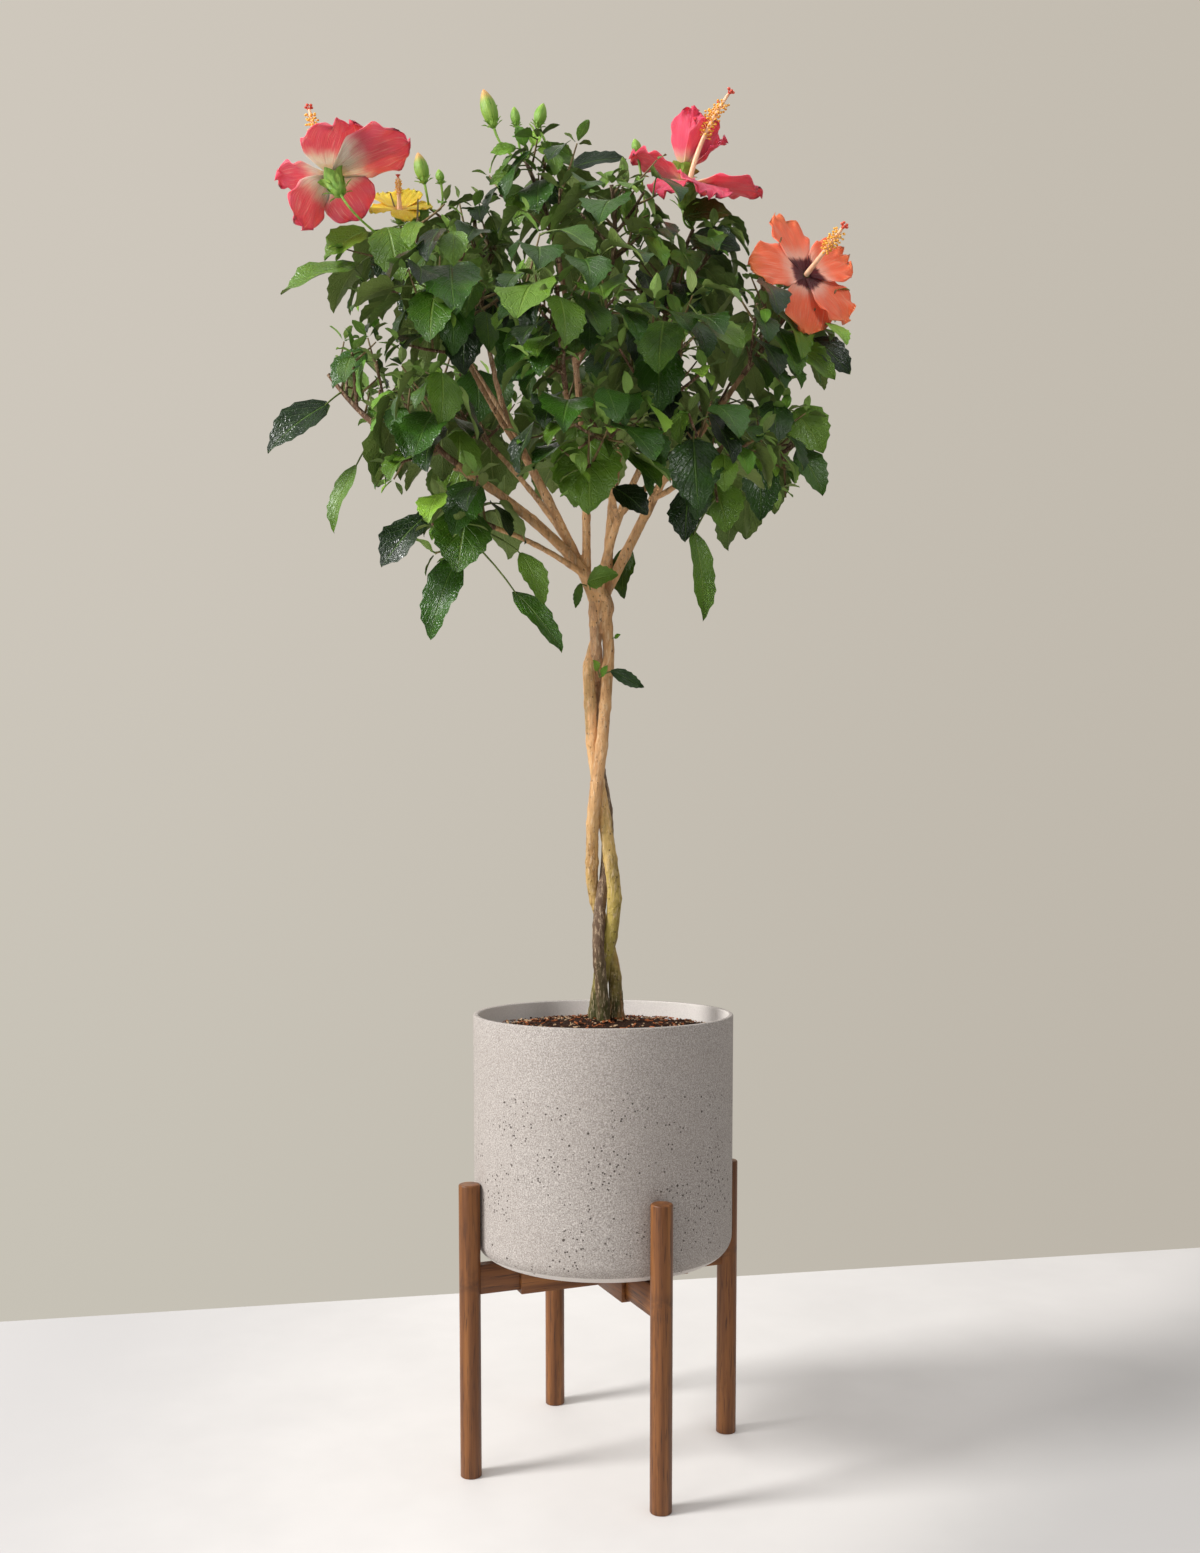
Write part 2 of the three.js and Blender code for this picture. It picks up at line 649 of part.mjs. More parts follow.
// The limbs as close rows of round places, for keeping leaves off them.
const limbBeads = Object.values(limbs).flatMap(({ points, radii }) => (
  points.slice(1).flatMap((point, i) => {
    const steps = Math.ceil(length(minus(point, points[i])) / 5);
    return Array.from({ length: steps }, (_, k) => ({
      place: mix(points[i], point, k / steps),
      radius: radii[i] + (radii[i + 1] - radii[i]) * (k / steps),
    }));
  })
));

// The middle of each foliage mass. A place belongs to the mass whose middle is nearest.
const massMiddles = Object.fromEntries(Object.entries(masses).map(([name, mass]) => [
  name, mix(boughs[mass.bough].tip, mass.crest, crestShare),
]));

function nearestMass(place) {
  const gap = (name) => length(minus(massMiddles[name], place));
  return Object.keys(masses).reduce((best, name) => (gap(name) < gap(best) ? name : best));
}

function insideMass(name, place, margin) {
  const own = massMiddles[name];
  return Object.entries(massMiddles).every(([other, middle]) => {
    if (other === name) {
      return true;
    }
    const apart = minus(middle, own);
    return dot(minus(place, mix(own, middle, 0.5)), apart) / length(apart) < -margin;
  });
}

function insideCrown(place) {
  const x = place[0] - crownMiddle[0];
  const z = place[2] - crownMiddle[2];
  const turn = ((Math.atan2(z, x) / (2 * Math.PI) + 1) % 1) * crownReach.length;
  const i = Math.floor(turn) % crownReach.length;
  const next = (i + 1) % crownReach.length;
  const reach = crownReach[i] + (crownReach[next] - crownReach[i]) * (turn - Math.floor(turn));
  const depth = place[1] / crownDepth;
  return depth * depth + (x * x + z * z) / (reach * reach) < 1;
}

// The curve of a petal: the way it points, square to its flower's axis, and its steps out from
// the axis and up along it.
function petalCurve(flower, [towards, span, , start, end]) {
  const axis = unit(flower.axis);
  const out = unit(minus(towards, scale(axis, dot(towards, axis))));
  const rows = [{ distance: throatRadius, height: -throatDepth * span, tilt: radians(start) }];
  for (let step = 1; step <= petalSteps; step += 1) {
    const last = rows[step - 1];
    const tilt = radians(start + ((end - start) * step) / petalSteps);
    rows.push({
      distance: last.distance + (Math.cos(tilt) * span) / petalSteps,
      height: last.height + (Math.sin(tilt) * span) / petalSteps,
      tilt,
    });
  }
  return { axis, out, rows };
}

// The place on a petal at a share of its length and of its half width, lifted off its face.
function onPetal(flower, petal, u, v, lift) {
  const { axis, out, rows } = petalCurve(flower, petal);
  const { distance, height, tilt } = rows[Math.round(u * petalSteps)];
  const middle = along(along(flower.middle, out, distance), axis, height);
  const normal = add(scale(axis, Math.cos(tilt)), scale(out, -Math.sin(tilt)));
  return add(along(middle, cross(axis, out), (v * petal[2]) / 2), scale(normal, lift));
}

// Lines that no leaf may cut: through each petal, column and bud, and from them to the front.
const toFront = (place) => [place, along(place, unit(minus(frontPlace, place)), openSpace)];
const openLines = [
  ...Object.values(flowers).flatMap((flower) => [
    [flower.middle, flower.column],
    toFront(flower.middle),
    ...flower.petals.flatMap((petal) => {
      const [half, tip] = [0.5, 1].map((u) => onPetal(flower, petal, u, 0, 0));
      return [[flower.middle, half], [half, tip], toFront(half), toFront(tip)];
    }),
  ]),
  ...Object.values(buds).flatMap(({ foot, tip }) => [[foot, tip], toFront(mix(foot, tip, 0.5))]),
];

// A leaf: the place of its foot on the twig, its root, its heading, side and face directions.
function layLeaf(foot, root, tip, width, roll) {
  const heading = unit(minus(tip, root));
  const level = Math.abs(heading[2]) > 0.995 ? [1, 0, 0] : cross([0, 0, 1], heading);
  const flat = unit(level);
  const upward = cross(heading, flat);
  const side = add(scale(flat, Math.cos(roll)), scale(upward, Math.sin(roll)));
  return { foot, root, heading, side, face: cross(heading, side), size: length(minus(tip, root)), width };
}

// The roll that turns a leaf's upper side towards the front by a share of the full turn.
function rollToFront(root, tip, share) {
  const level = layLeaf(root, root, tip, 1, 0);
  const front = unit(minus(frontPlace, root));
  return share * Math.atan2(-dot(level.side, front), dot(level.face, front));
}

// A place on a leaf from its share along and across the blade; the blade arches and folds a little.
function onLeaf(leaf, u, v) {
  const arch = (bladeRise * u - bladeFall * u * u) * leaf.size;
  const fold = Math.abs(v) * leaf.width * bladeFold;
  return add(
    add(along(leaf.root, leaf.heading, u * leaf.size), scale(leaf.side, (v * leaf.width) / 2)),
    scale(leaf.face, arch + fold),
  );
}

const widestPlace = 0.38;
const leafOutline = [[widestPlace, 1.06], [1, 0], [widestPlace, -1.06]];

function leafTouchesLimb(leaf) {
  return limbBeads.some(({ place, radius }) => {
    const away = minus(place, leaf.root);
    const u = dot(away, leaf.heading) / leaf.size;
    const reach = radius + limbMargin;
    if (u < -reach / leaf.size || u > 1 + reach / leaf.size) {
      return false;
    }
    const v = (2 * dot(away, leaf.side)) / leaf.width;
    if (Math.abs(v) > 1 + (2 * reach) / leaf.width) {
      return false;
    }
    const surface = onLeaf(leaf, u, v);
    return Math.abs(dot(minus(place, surface), leaf.face)) < reach;
  }) || lineTouchesLimb(leaf.foot, leaf.root, petioleRadius);
}

function lineTouchesLimb(from, to, radius) {
  const run = minus(to, from);
  const span = dot(run, run);
  return limbBeads.some((bead) => {
    const share = Math.min(Math.max(dot(minus(bead.place, from), run) / span, 0), 1);
    const apart = length(minus(bead.place, along(from, run, share)));
    return apart < bead.radius + radius + limbMargin;
  });
}

// Whether a straight line cuts through a leaf's blade.
function lineCutsLeaf(leaf, from, to) {
  const before = dot(minus(from, leaf.root), leaf.face);
  const after = dot(minus(to, leaf.root), leaf.face);
  if (before * after > 0) {
    return false;
  }
  const place = minus(mix(from, to, before / (before - after)), leaf.root);
  const u = dot(place, leaf.heading) / leaf.size;
  const v = (2 * dot(place, leaf.side)) / leaf.width;
  return u > -endRoom && u < 1 + endRoom && Math.abs(v) < 1 + sideRoom;
}

const leafLines = (leaf) => [
  [leaf.foot, leaf.root],
  [leaf.root, onLeaf(leaf, 1, 0)],
  [onLeaf(leaf, widestPlace, -1), onLeaf(leaf, widestPlace, 1)],
];

// Whether two leaves cut through each other.
function leavesCross(a, b) {
  return leafLines(a).some(([from, to]) => lineCutsLeaf(b, from, to))
    || leafLines(b).some(([from, to]) => lineCutsLeaf(a, from, to));
}

function leafFits(name, leaf, twigs, others, alone) {
  const places = [leaf.root, ...leafOutline.map(([u, v]) => onLeaf(leaf, u, v))];
  return places.every((place) => insideMass(name, place, cellMargin)
    && (alone || insideCrown(place)))
    && !leafTouchesLimb(leaf)
    && !openLines.some(([from, to]) => lineCutsLeaf(leaf, from, to))
    && !twigs.some(({ points }) => (
      points.slice(1).some((point, i) => lineCutsLeaf(leaf, points[i], point))
    ))
    && !others.some((other) => leavesCross(leaf, other));
}

// The twigs and leaves of one mass, dealt out from its seed.
function growMass(name) {
  const mass = masses[name];
  const random = randomStream(mass.seed);
  const feeder = limbs[mass.bough];
  const [below, tip] = feeder.points.slice(-2);
  const leaving = unit(minus(tip, below));
  const start = along(tip, leaving, clearance);
  const run = length(minus(mass.crest, start));
  const startRadius = feeder.radii[feeder.radii.length - 1] * leaderSwell;
  const leader = curvedTwig(
    start,
    along(start, leaving, run * 0.4),
    mass.crest,
    [startRadius, leaderTipRadius],
    3,
  );
  const twigs = [leader];
  for (let i = 0; i < mass.twigs; i += 1) {
    const share = sideTwigStart + (sideTwigSpan * (i + 0.3 * random())) / mass.twigs;
    const [foot, heading, frame] = twigPlace(leader, share);
    const around = radians(60 + nodeTurn * (i + mass.seed) + 30 * (random() - 0.5));
    const radial = spoke(frame, around);
    const rising = [0, 0, sideTwigRise];
    let reach = mass.spread * (sideTwigReach[0] - sideTwigReach[1] * share) * (0.85 + 0.3 * random());
    for (let attempt = 0; attempt < sideTwigTries; attempt += 1) {
      const aim = unit(add(add(scale(heading, sideTwigForward), radial), rising));
      const end = along(foot, aim, reach);
      const bend = along(along(foot, aim, reach * 0.5), [0, 0, -1], reach * sideTwigSag);
      const clear = !lineTouchesLimb(along(foot, aim, startRadius + 4), end, twigTipRadius);
      if (clear && insideMass(name, end, 4) && insideCrown(along(foot, aim, reach * 1.1))) {
        twigs.push(curvedTwig(foot, bend, end, [twigFootRadius, twigTipRadius], 2));
        break;
      }
      reach *= sideTwigShrink;
    }
  }
  const leaves = [];
  const own = loneLeaves.filter(([root, end]) => nearestMass(mix(root, end, 0.5)) === name);
  own.forEach(([root, end, width, turn]) => {
    const foot = nearestOnTwigs(twigs, add(root, [0, 0, 6]));
    const roll = rollToFront(root, end, turn) + 0.15 - 0.3 * random();
    const leaf = layLeaf(foot, root, end, width, roll);
    if (leafFits(name, leaf, [], leaves, true)) {
      leaves.push(leaf);
    }
  });
  twigs.forEach((twig, order) => {
    const span = twigLength(twig);
    const first = order === 0 ? 0.2 : 0.3;
    const count = Math.max(2, Math.round((span * (1 - first)) / nodeSpacing));
    for (let i = 0; i <= count; i += 1) {
      const share = first + ((1 - first) * i) / count;
      const [foot, heading, frame] = twigPlace(twig, Math.min(share, lastLeafPlace));
      const turn = 60 + nodeTurn * (i + order) + 30 * (random() - 0.5);
      const size = (leafSizes[0] + leafSizes[1] * random()) * (i === count ? endLeafShare : 1);
      const droop = radians(leafDroop[0] + leafDroop[1] * random());
      const roll = radians(leafRoll * (random() - 0.5));
      const leaf = placeLeaf(name, twigs, leaves, [foot, heading, frame], turn, size, droop, roll);
      if (leaf) {
        leaves.push(leaf);
      }
    }
  });
  return { twigs, leaves };
}

// The size of leaves at a height against those lower down.
function topShare(height) {
  const rise = (height - smallLeafHeight) / smallLeafRise;
  return 1 - smallLeafLoss * Math.min(Math.max(rise, 0), 1);
}

// Tries a leaf at a node, turning and shrinking it until it fits its space.
function placeLeaf(name, twigs, others, [foot, heading, frame], turn, size, droop, roll) {
  const middle = add(massMiddles[name], [0, 0, -30]);
  for (let attempt = 0; attempt < leafTries; attempt += 1) {
    const around = radians(turn + attempt * nodeTurn);
    const shrink = size * topShare(foot[2]) * (1 - leafShrink * attempt);
    const radial = spoke(frame, around);
    const outward = minus(foot, mix(middle, crownMiddle, 0.5));
    const stalkAim = unit(
      add(add(scale(heading, stalkForward), radial), scale(unit(outward), stalkOutward)),
    );
    const sag = scale([0, 0, -1], petioleLength * stalkSag);
    const root = add(along(foot, stalkAim, petioleLength * shrink), sag);
    const swing = add(stalkAim, scale(unit(outward), bladeOutward));
    const flat = unit([swing[0] + 1e-4, swing[1], 0]);
    const fall = droop + radians(9 * (attempt % 4));
    const blade = add(scale(flat, Math.cos(fall)), [0, 0, -Math.sin(fall)]);
    const span = leafLength * shrink;
    const leaf = layLeaf(foot, root, along(root, blade, span), span * leafAspect, roll);
    if (leafFits(name, leaf, twigs, others, false)) {
      return leaf;
    }
  }
  return null;
}

function squareTo(heading) {
  const east = unit(cross(Math.abs(heading[2]) > 0.95 ? [1, 0, 0] : [0, 0, 1], heading));
  return [east, cross(heading, east)];
}

function curvedTwig(start, control, end, [footRadius, tipRadius], rings) {
  const points = [];
  const radii = [];
  for (let i = 0; i < rings; i += 1) {
    const t = i / (rings - 1);
    points.push(mix(mix(start, control, t), mix(control, end, t), t));
    radii.push(footRadius + (tipRadius - footRadius) * t);
  }
  return { points, radii, frames: frameLine(points) };
}

const twigLength = ({ points }) => points.slice(1).reduce(
  (sum, point, i) => sum + length(minus(point, points[i])), 0,
);

// The place on a twig at a share of its length, its heading there and its frame.
function twigPlace({ points, frames }, share) {
  const position = share * (points.length - 1);
  const i = Math.min(Math.floor(position), points.length - 2);
  const heading = unit(minus(points[i + 1], points[i]));
  return [mix(points[i], points[i + 1], position - i), heading, frames[i]];
}

// The nearest of the places along the twigs, past the foot of each.
const twigPlaces = 20;
function nearestOnTwigs(twigs, place) {
  let best = null;
  let bestGap = Infinity;
  twigs.forEach((twig) => {
    for (let i = 3; i <= twigPlaces; i += 1) {
      const [candidate] = twigPlace(twig, i / twigPlaces);
      const gap = length(minus(candidate, place));
      if (gap < bestGap) {
        best = candidate;
        bestGap = gap;
      }
    }
  });
  return best;
}

// A leaf as one closed solid: a three-sided stalk that opens into a lens-shaped blade.
function leafSolid(leaf, outline, stalkRadius, thickness) {
  const stalk = unit(minus(leaf.root, leaf.foot));
  const ring = (centre, heading) => {
    const side = unit(minus(leaf.side, scale(heading, dot(leaf.side, heading))));
    const up = cross(heading, side);
    return [along(centre, side, -stalkRadius), along(centre, side, stalkRadius),
      along(centre, up, -1.5 * stalkRadius)];
  };
  const footRing = ring(leaf.foot, stalk);
  const rootRing = ring(leaf.root, unit(add(stalk, leaf.heading)));
  const crest = onLeaf(leaf, 0.42, 0);
  const corners = [...footRing, ...rootRing, ...outline.map(([u, v]) => onLeaf(leaf, u, v)),
    along(crest, leaf.face, thickness / 2), along(crest, leaf.face, -thickness / 2)];
  const edge = [4, ...outline.map((_, i) => 6 + i), 3];
  const top = corners.length - 2;
  const under = corners.length - 1;
  const faces = [[0, 2, 1], [0, 1, 4, 3], [1, 2, 5, 4], [2, 0, 3, 5]];
  edge.slice(1).forEach((corner, i) => {
    faces.push([edge[i], corner, top]);
    faces.push([corner, edge[i], under]);
  });
  faces.push([3, 4, top]);
  faces.push([5, 3, under]);
  faces.push([4, 5, under]);
  return solid(corners, faces);
}

// A petal as one closed solid: its rim with a crest above and below.
function petalSolid(flower, petal) {
  const crests = [0.5, -0.5].map((side) => (
    onPetal(flower, petal, petalRidge, 0, side * petalThickness)
  ));
  const rim = petalOutline.map(([u, v]) => onPetal(flower, petal, u, v, 0));
  const faces = rim.flatMap((_, i) => {
    const next = (i + 1) % rim.length;
    return [[i, next, rim.length], [next, i, rim.length + 1]];
  });
  return solid([...rim, ...crests], faces);
}

// A flower: its petals on a green calyx, the calyx on a stalk, and a column out of the throat.
function flowerSolids(flower, stem) {
  const axis = unit(flower.axis);
  const [calyxLength, calyxRadius] = flower.calyx;
  const foot = along(flower.middle, axis, -calyxLength);
  const columnLength = length(minus(flower.column, flower.middle));
  const bend = along(flower.middle, axis, columnLength / 2);
  const column = curvedTwig(flower.middle, bend, flower.column, columnRadii, 3);
  return [
    ...flower.petals.map((petal) => petalSolid(flower, petal)),
    tube([stem, foot], [stalkRadius, stalkRadius], twigSides),
    tube([foot, mix(foot, flower.middle, 0.5), along(flower.middle, axis, 1)],
      [calyxRadius * 0.4, calyxRadius, calyxRadius * 0.6], budSides),
    tube(column.points, column.radii, twigSides),
  ];
}

function budSolids(bud, stem) {
  const belly = mix(bud.foot, bud.tip, 0.4);
  const shoulder = mix(bud.foot, bud.tip, 0.75);
  return [
    tube([stem, bud.foot], [stalkRadius, stalkRadius], twigSides),
    tube([minus(bud.foot, scale(unit(minus(bud.tip, bud.foot)), 2)), belly, shoulder, bud.tip],
      budShares.map((share) => share * bud.radius), budSides),
  ];
}

const grown = Object.fromEntries(Object.keys(masses).map((name) => [name, growMass(name)]));

function massSolid(name) {
  const { twigs, leaves } = grown[name];
  const parts = twigs.map(({ points, radii }) => tube(points, radii, twigSides));
  leaves.forEach((leaf) => parts.push(leafSolid(leaf, leafOutline, petioleRadius, leafThickness)));
  Object.values(flowers).filter((flower) => flower.mass === name).forEach((flower) => {
    const stem = nearestOnTwigs(twigs, along(flower.middle, unit(flower.axis), -flower.calyx[0]));
    parts.push(...flowerSolids(flower, stem));
  });
  Object.values(buds).filter((bud) => bud.mass === name).forEach((bud) => {
    parts.push(...budSolids(bud, nearestOnTwigs(twigs, bud.foot)));
  });
  const fused = parts.reduce((whole, part) => whole.add(part)).simplify(0.02);
  return largestPiece(builtLimbs.reduce((rest, limb) => rest.subtract(limb), fused));
}

const group = new THREE.Group();
group.name = 'potted_hibiscus';

function addMesh(name, shape, colour, roughness) {
  const { vertProperties, triVerts, numProp } = shape.getMesh();
  const positions = new Float32Array((vertProperties.length / numProp) * 3);
  for (let i = 0; i < positions.length / 3; i += 1) {
    positions.set(vertProperties.slice(i * numProp, i * numProp + 3), i * 3);
  }
  const geometry = new THREE.BufferGeometry();
  geometry.setAttribute('position', new THREE.BufferAttribute(positions, 3));
  geometry.setIndex(new THREE.BufferAttribute(Uint32Array.from(triVerts), 1));
  geometry.computeVertexNormals();
  const material = new THREE.MeshStandardMaterial({ color: colour, roughness, metalness: 0 });
  const mesh = new THREE.Mesh(geometry, material);
  mesh.name = name;
  group.add(mesh);
}

addMesh('pot', makePot(), colours.pot, 0.85);
addMesh('soil', makeSoil(), colours.soil, 0.95);
Object.keys(legAngles).forEach((name) => {
  addMesh(`leg_${name}`, makeLeg(name), colours.wood, 0.55);
  addMesh(`slider_${name}`, makeSlider(name), colours.wood, 0.55);
});
addMesh('sleeve_bar_wide', makeSleeve(wideSleeveReach, 'right', true), colours.wood, 0.55);
addMesh('sleeve_bar_deep', makeSleeve(deepSleeveReach, 'back', false), colours.wood, 0.55);

// The limbs are built from the ground up; each is cut back where it meets one built before it.
const builtLimbs = [];
Object.keys(stems).forEach((name) => {
  const shape = builtLimbs.reduce((rest, other) => rest.subtract(other), stemSolid(name));
  addMesh(`stem_${name}`, largestPiece(shape), colours[name], 0.75);
  builtLimbs.push(stemSolid(name, clearance));
});
Object.keys(boughs).forEach((name) => {
  const { points, radii } = limbs[name];
  const shape = builtLimbs.reduce(
    (rest, other) => rest.subtract(other),
    tube(points, radii, boughSides),
  );
  addMesh(`bough_${name}`, largestPiece(shape.simplify(0.02)), colours.limb, 0.75);
  builtLimbs.push(tube(points, radii.map((radius) => radius + clearance * 1.1), boughSides));
});
Object.keys(masses).forEach((name) => {
  addMesh(`foliage_${name}`, massSolid(name), colours.leaf, 0.45);
});

export default group;
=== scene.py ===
# %% [markdown]
# A potted hibiscus standard
#
# The real thing is a small tree made by a grower: three young stems are plaited into a trunk,
# and a round crown of dark, toothed leaves and wide flowers is kept on top of it. It stands in a
# cement cylinder, and the cylinder stands in a wooden plant stand whose bars slide to fit.
#
# The solids of the construction model are loaded first, as a frame. Every piece made below goes
# where that frame says. Millimetres are easier to think in, so sizes are written in them and
# turned into Blender's metres where a mesh is made.

# %% Load the frame
import json
import math
from collections import namedtuple

import bpy
import numpy as np
from mathutils import Matrix, Vector

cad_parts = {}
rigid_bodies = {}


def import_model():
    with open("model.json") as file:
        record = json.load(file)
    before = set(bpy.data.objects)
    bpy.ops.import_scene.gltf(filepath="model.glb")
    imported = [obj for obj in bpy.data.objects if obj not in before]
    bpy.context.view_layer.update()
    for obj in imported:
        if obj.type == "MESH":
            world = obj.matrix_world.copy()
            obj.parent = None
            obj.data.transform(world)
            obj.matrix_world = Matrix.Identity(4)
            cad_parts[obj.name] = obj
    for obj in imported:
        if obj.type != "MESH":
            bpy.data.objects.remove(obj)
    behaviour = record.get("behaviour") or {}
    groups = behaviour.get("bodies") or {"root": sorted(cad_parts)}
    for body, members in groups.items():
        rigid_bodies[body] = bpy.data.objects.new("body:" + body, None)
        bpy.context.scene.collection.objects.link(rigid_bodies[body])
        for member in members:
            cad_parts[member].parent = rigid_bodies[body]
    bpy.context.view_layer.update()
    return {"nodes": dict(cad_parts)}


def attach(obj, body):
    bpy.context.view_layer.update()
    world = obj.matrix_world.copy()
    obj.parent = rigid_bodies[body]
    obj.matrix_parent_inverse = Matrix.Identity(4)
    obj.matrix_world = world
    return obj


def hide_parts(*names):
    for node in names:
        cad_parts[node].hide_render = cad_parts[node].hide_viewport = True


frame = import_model()
MM = 0.001


# %% [markdown]
# The camera
#
# The photograph is taken from 1.5 m away and from a little above the pot's rim, looking down by
# only four degrees. The lens is shifted upwards to take in the crown, so the upright lines of pot
# and trunk stay nearly upright. A camera tilted up with no shift would make them lean together.

# %% Camera
PICTURE_HEIGHT = 1553
FOCAL_PIXELS = 1406.7
AXIS_ROW = 950.2
SENSOR = 36
CAMERA_PLACE = (-0.0036, -1.5406, 0.6743)
CAMERA_TILT = 4


def add_object(name, data):
    """A new object of a mesh, curve, lamp or camera, linked to the scene."""
    made = bpy.data.objects.new(name, data)
    bpy.context.scene.collection.objects.link(made)
    return made


camera_data = bpy.data.cameras.new("photo_camera")
camera_data.sensor_width = SENSOR
camera_data.lens = FOCAL_PIXELS * SENSOR / PICTURE_HEIGHT
camera_data.shift_y = (AXIS_ROW - PICTURE_HEIGHT / 2) / PICTURE_HEIGHT
camera = add_object("photo_camera", camera_data)
camera.location = CAMERA_PLACE
camera.rotation_euler = (math.radians(90 - CAMERA_TILT), 0, 0)
bpy.context.scene.camera = camera
print("lens", round(camera_data.lens, 2), "mm")


# %% [markdown]
# Working with shader sockets
#
# Node trees are tedious to wire by hand. One small class wraps a socket, so that an ordinary
# sum such as `1 - mask * 0.4` adds the Math nodes for it. Anything else, such as a noise or a
# ramp, comes from its `node` method. Colours are written as a monitor shows them, and every
# ramp and blend turns them into linear light.

# %% A socket with arithmetic
def linear_light(colour):
    """A colour given on a 0 to 255 scale, as Blender wants it, with full alpha."""
    shares = [value / 255 for value in colour]
    light = [s / 12.92 if s <= 0.04045 else ((s + 0.055) / 1.055) ** 2.4 for s in shares]
    return (*light, 1)


class Shade:
    """A socket of one material's node tree."""

    def __init__(self, tree, socket):
        self.tree = tree
        self.socket = socket

    def node(self, kind, settings, inputs, output=0):
        made = self.tree.nodes.new(kind)
        for name, value in settings.items():
            if name == "stops":
                ramp = made.color_ramp
                while len(ramp.elements) < len(value):
                    ramp.elements.new(1)
                for element, (place, colour) in zip(ramp.elements, value):
                    element.position = place
                    element.color = linear_light(colour)
            else:
                setattr(made, name, value)
        for key, value in inputs.items():
            if isinstance(value, Shade):
                self.tree.links.new(value.socket, made.inputs[key])
            else:
                made.inputs[key].default_value = value
        return Shade(self.tree, made.outputs[output])

    def math(self, operation, *values):
        return self.node("ShaderNodeMath", {"operation": operation}, dict(enumerate(values)))

    def __add__(self, other):
        return self.math("ADD", self, other)

    def __sub__(self, other):
        return self.math("SUBTRACT", self, other)

    def __rsub__(self, other):
        return self.math("SUBTRACT", other, self)

    def __mul__(self, other):
        return self.math("MULTIPLY", self, other)

    __radd__ = __add__
    __rmul__ = __mul__

    def magnitude(self):
        return self.math("ABSOLUTE", self)

    def larger(self, other):
        return self.math("MAXIMUM", self, other)

    def root(self):
        return self.math("SQRT", self)

    def zigzag(self):
        """Goes up evenly from 0 to 1 and down again, over and over."""
        return self.math("PINGPONG", self, 1.0)

    def between(self, low, high):
        """0 below low, 1 above high and smooth between them."""
        return self.node(
            "ShaderNodeMapRange",
            {"interpolation_type": "SMOOTHSTEP"},
            {"Value": self, "From Min": low, "From Max": high},
        )

    def ramp(self, *stops):
        return self.node("ShaderNodeValToRGB", {"stops": stops}, {"Fac": self})

    def blend(self, first, second):
        """Mixes two colours by this value."""
        colours = {6: first, 7: second}
        for key, colour in colours.items():
            if not isinstance(colour, Shade):
                colours[key] = linear_light(colour)
        return self.node("ShaderNodeMix", {"data_type": "RGBA"}, {0: self, **colours}, 2)

    def part(self, axis):
        return self.node("ShaderNodeSeparateXYZ", {}, {"Vector": self}, axis)

    def placed(self, scale, turn=(0, 0, 0)):
        place = {"Vector": self, "Scale": scale, "Rotation": turn}
        return self.node("ShaderNodeMapping", {}, place)

    def noise(self, scale, detail=2.0, roughness=0.5):
        return self.node(
            "ShaderNodeTexNoise",
            {},
            {"Vector": self, "Scale": scale, "Detail": detail, "Roughness": roughness},
        )

    def cells(self, scale, feature="F1"):
        return self.node(
            "ShaderNodeTexVoronoi", {"feature": feature}, {"Vector": self, "Scale": scale}
        )

    def bump(self, distance, strength=1.0):
        return self.node(
            "ShaderNodeBump", {}, {"Height": self, "Distance": distance, "Strength": strength}
        )


# %% A new material
def start_material(name, gloss, **constants):
    """A Principled material with its constant sockets set, and its coordinates."""
    material = bpy.data.materials.new(name)
    material.use_nodes = True
    tree = material.node_tree
    shader = tree.nodes["Principled BSDF"]
    shader.inputs["Specular IOR Level"].default_value = gloss
    for socket, value in constants.items():
        shader.inputs[socket.replace("_", " ")].default_value = value
    coordinates = tree.nodes.new("ShaderNodeTexCoord")
    place = Shade(tree, coordinates.outputs["Object"])
    own_map = Shade(tree, coordinates.outputs["UV"])
    return material, shader, place, own_map


def feed(shader, **links):
    """Links shades to the shader's sockets of the same names."""
    for socket, shade in links.items():
        shade.tree.links.new(shade.socket, shader.inputs[socket.replace("_", " ")])


def streaked_material(name, dark, light, roughness, scale=260.0, relief=(0.0005, 0.6), gloss=0.4):
    """Fine upright streaks between two colours, for chips, stalks, calyxes and columns."""
    material, shader, place, _ = start_material(name, gloss)
    streak = place.placed((1, 1, 0.3)).noise(scale, 3.0, 0.6)
    feed(
        shader, Base_Color=streak.ramp((0.3, dark), (0.7, light)),
        Normal=streak.bump(*relief), Roughness=streak * 0.2 + roughness - 0.1,
    )
    return material


# %% [markdown]
# Turning a round piece
#
# Pot, soil and legs are all round, so each is one disc that is extruded upwards again and again
# and scaled to the next radius of its profile. That is what a potter's or a turner's profile is,
# and it gives clean rings with closed ends. Spinning a profile would leave a seam to merge.

# %% A turned piece
def pick(*pieces):
    """Selects these pieces alone, the first of them as the active one."""
    bpy.ops.object.select_all(action="DESELECT")
    for piece in pieces:
        piece.select_set(True)
    bpy.context.view_layer.objects.active = pieces[0]


def settle(piece):
    """Puts a piece's place into its mesh and leaves its object at the origin."""
    pick(piece)
    bpy.ops.object.transform_apply(location=True, rotation=True, scale=True)


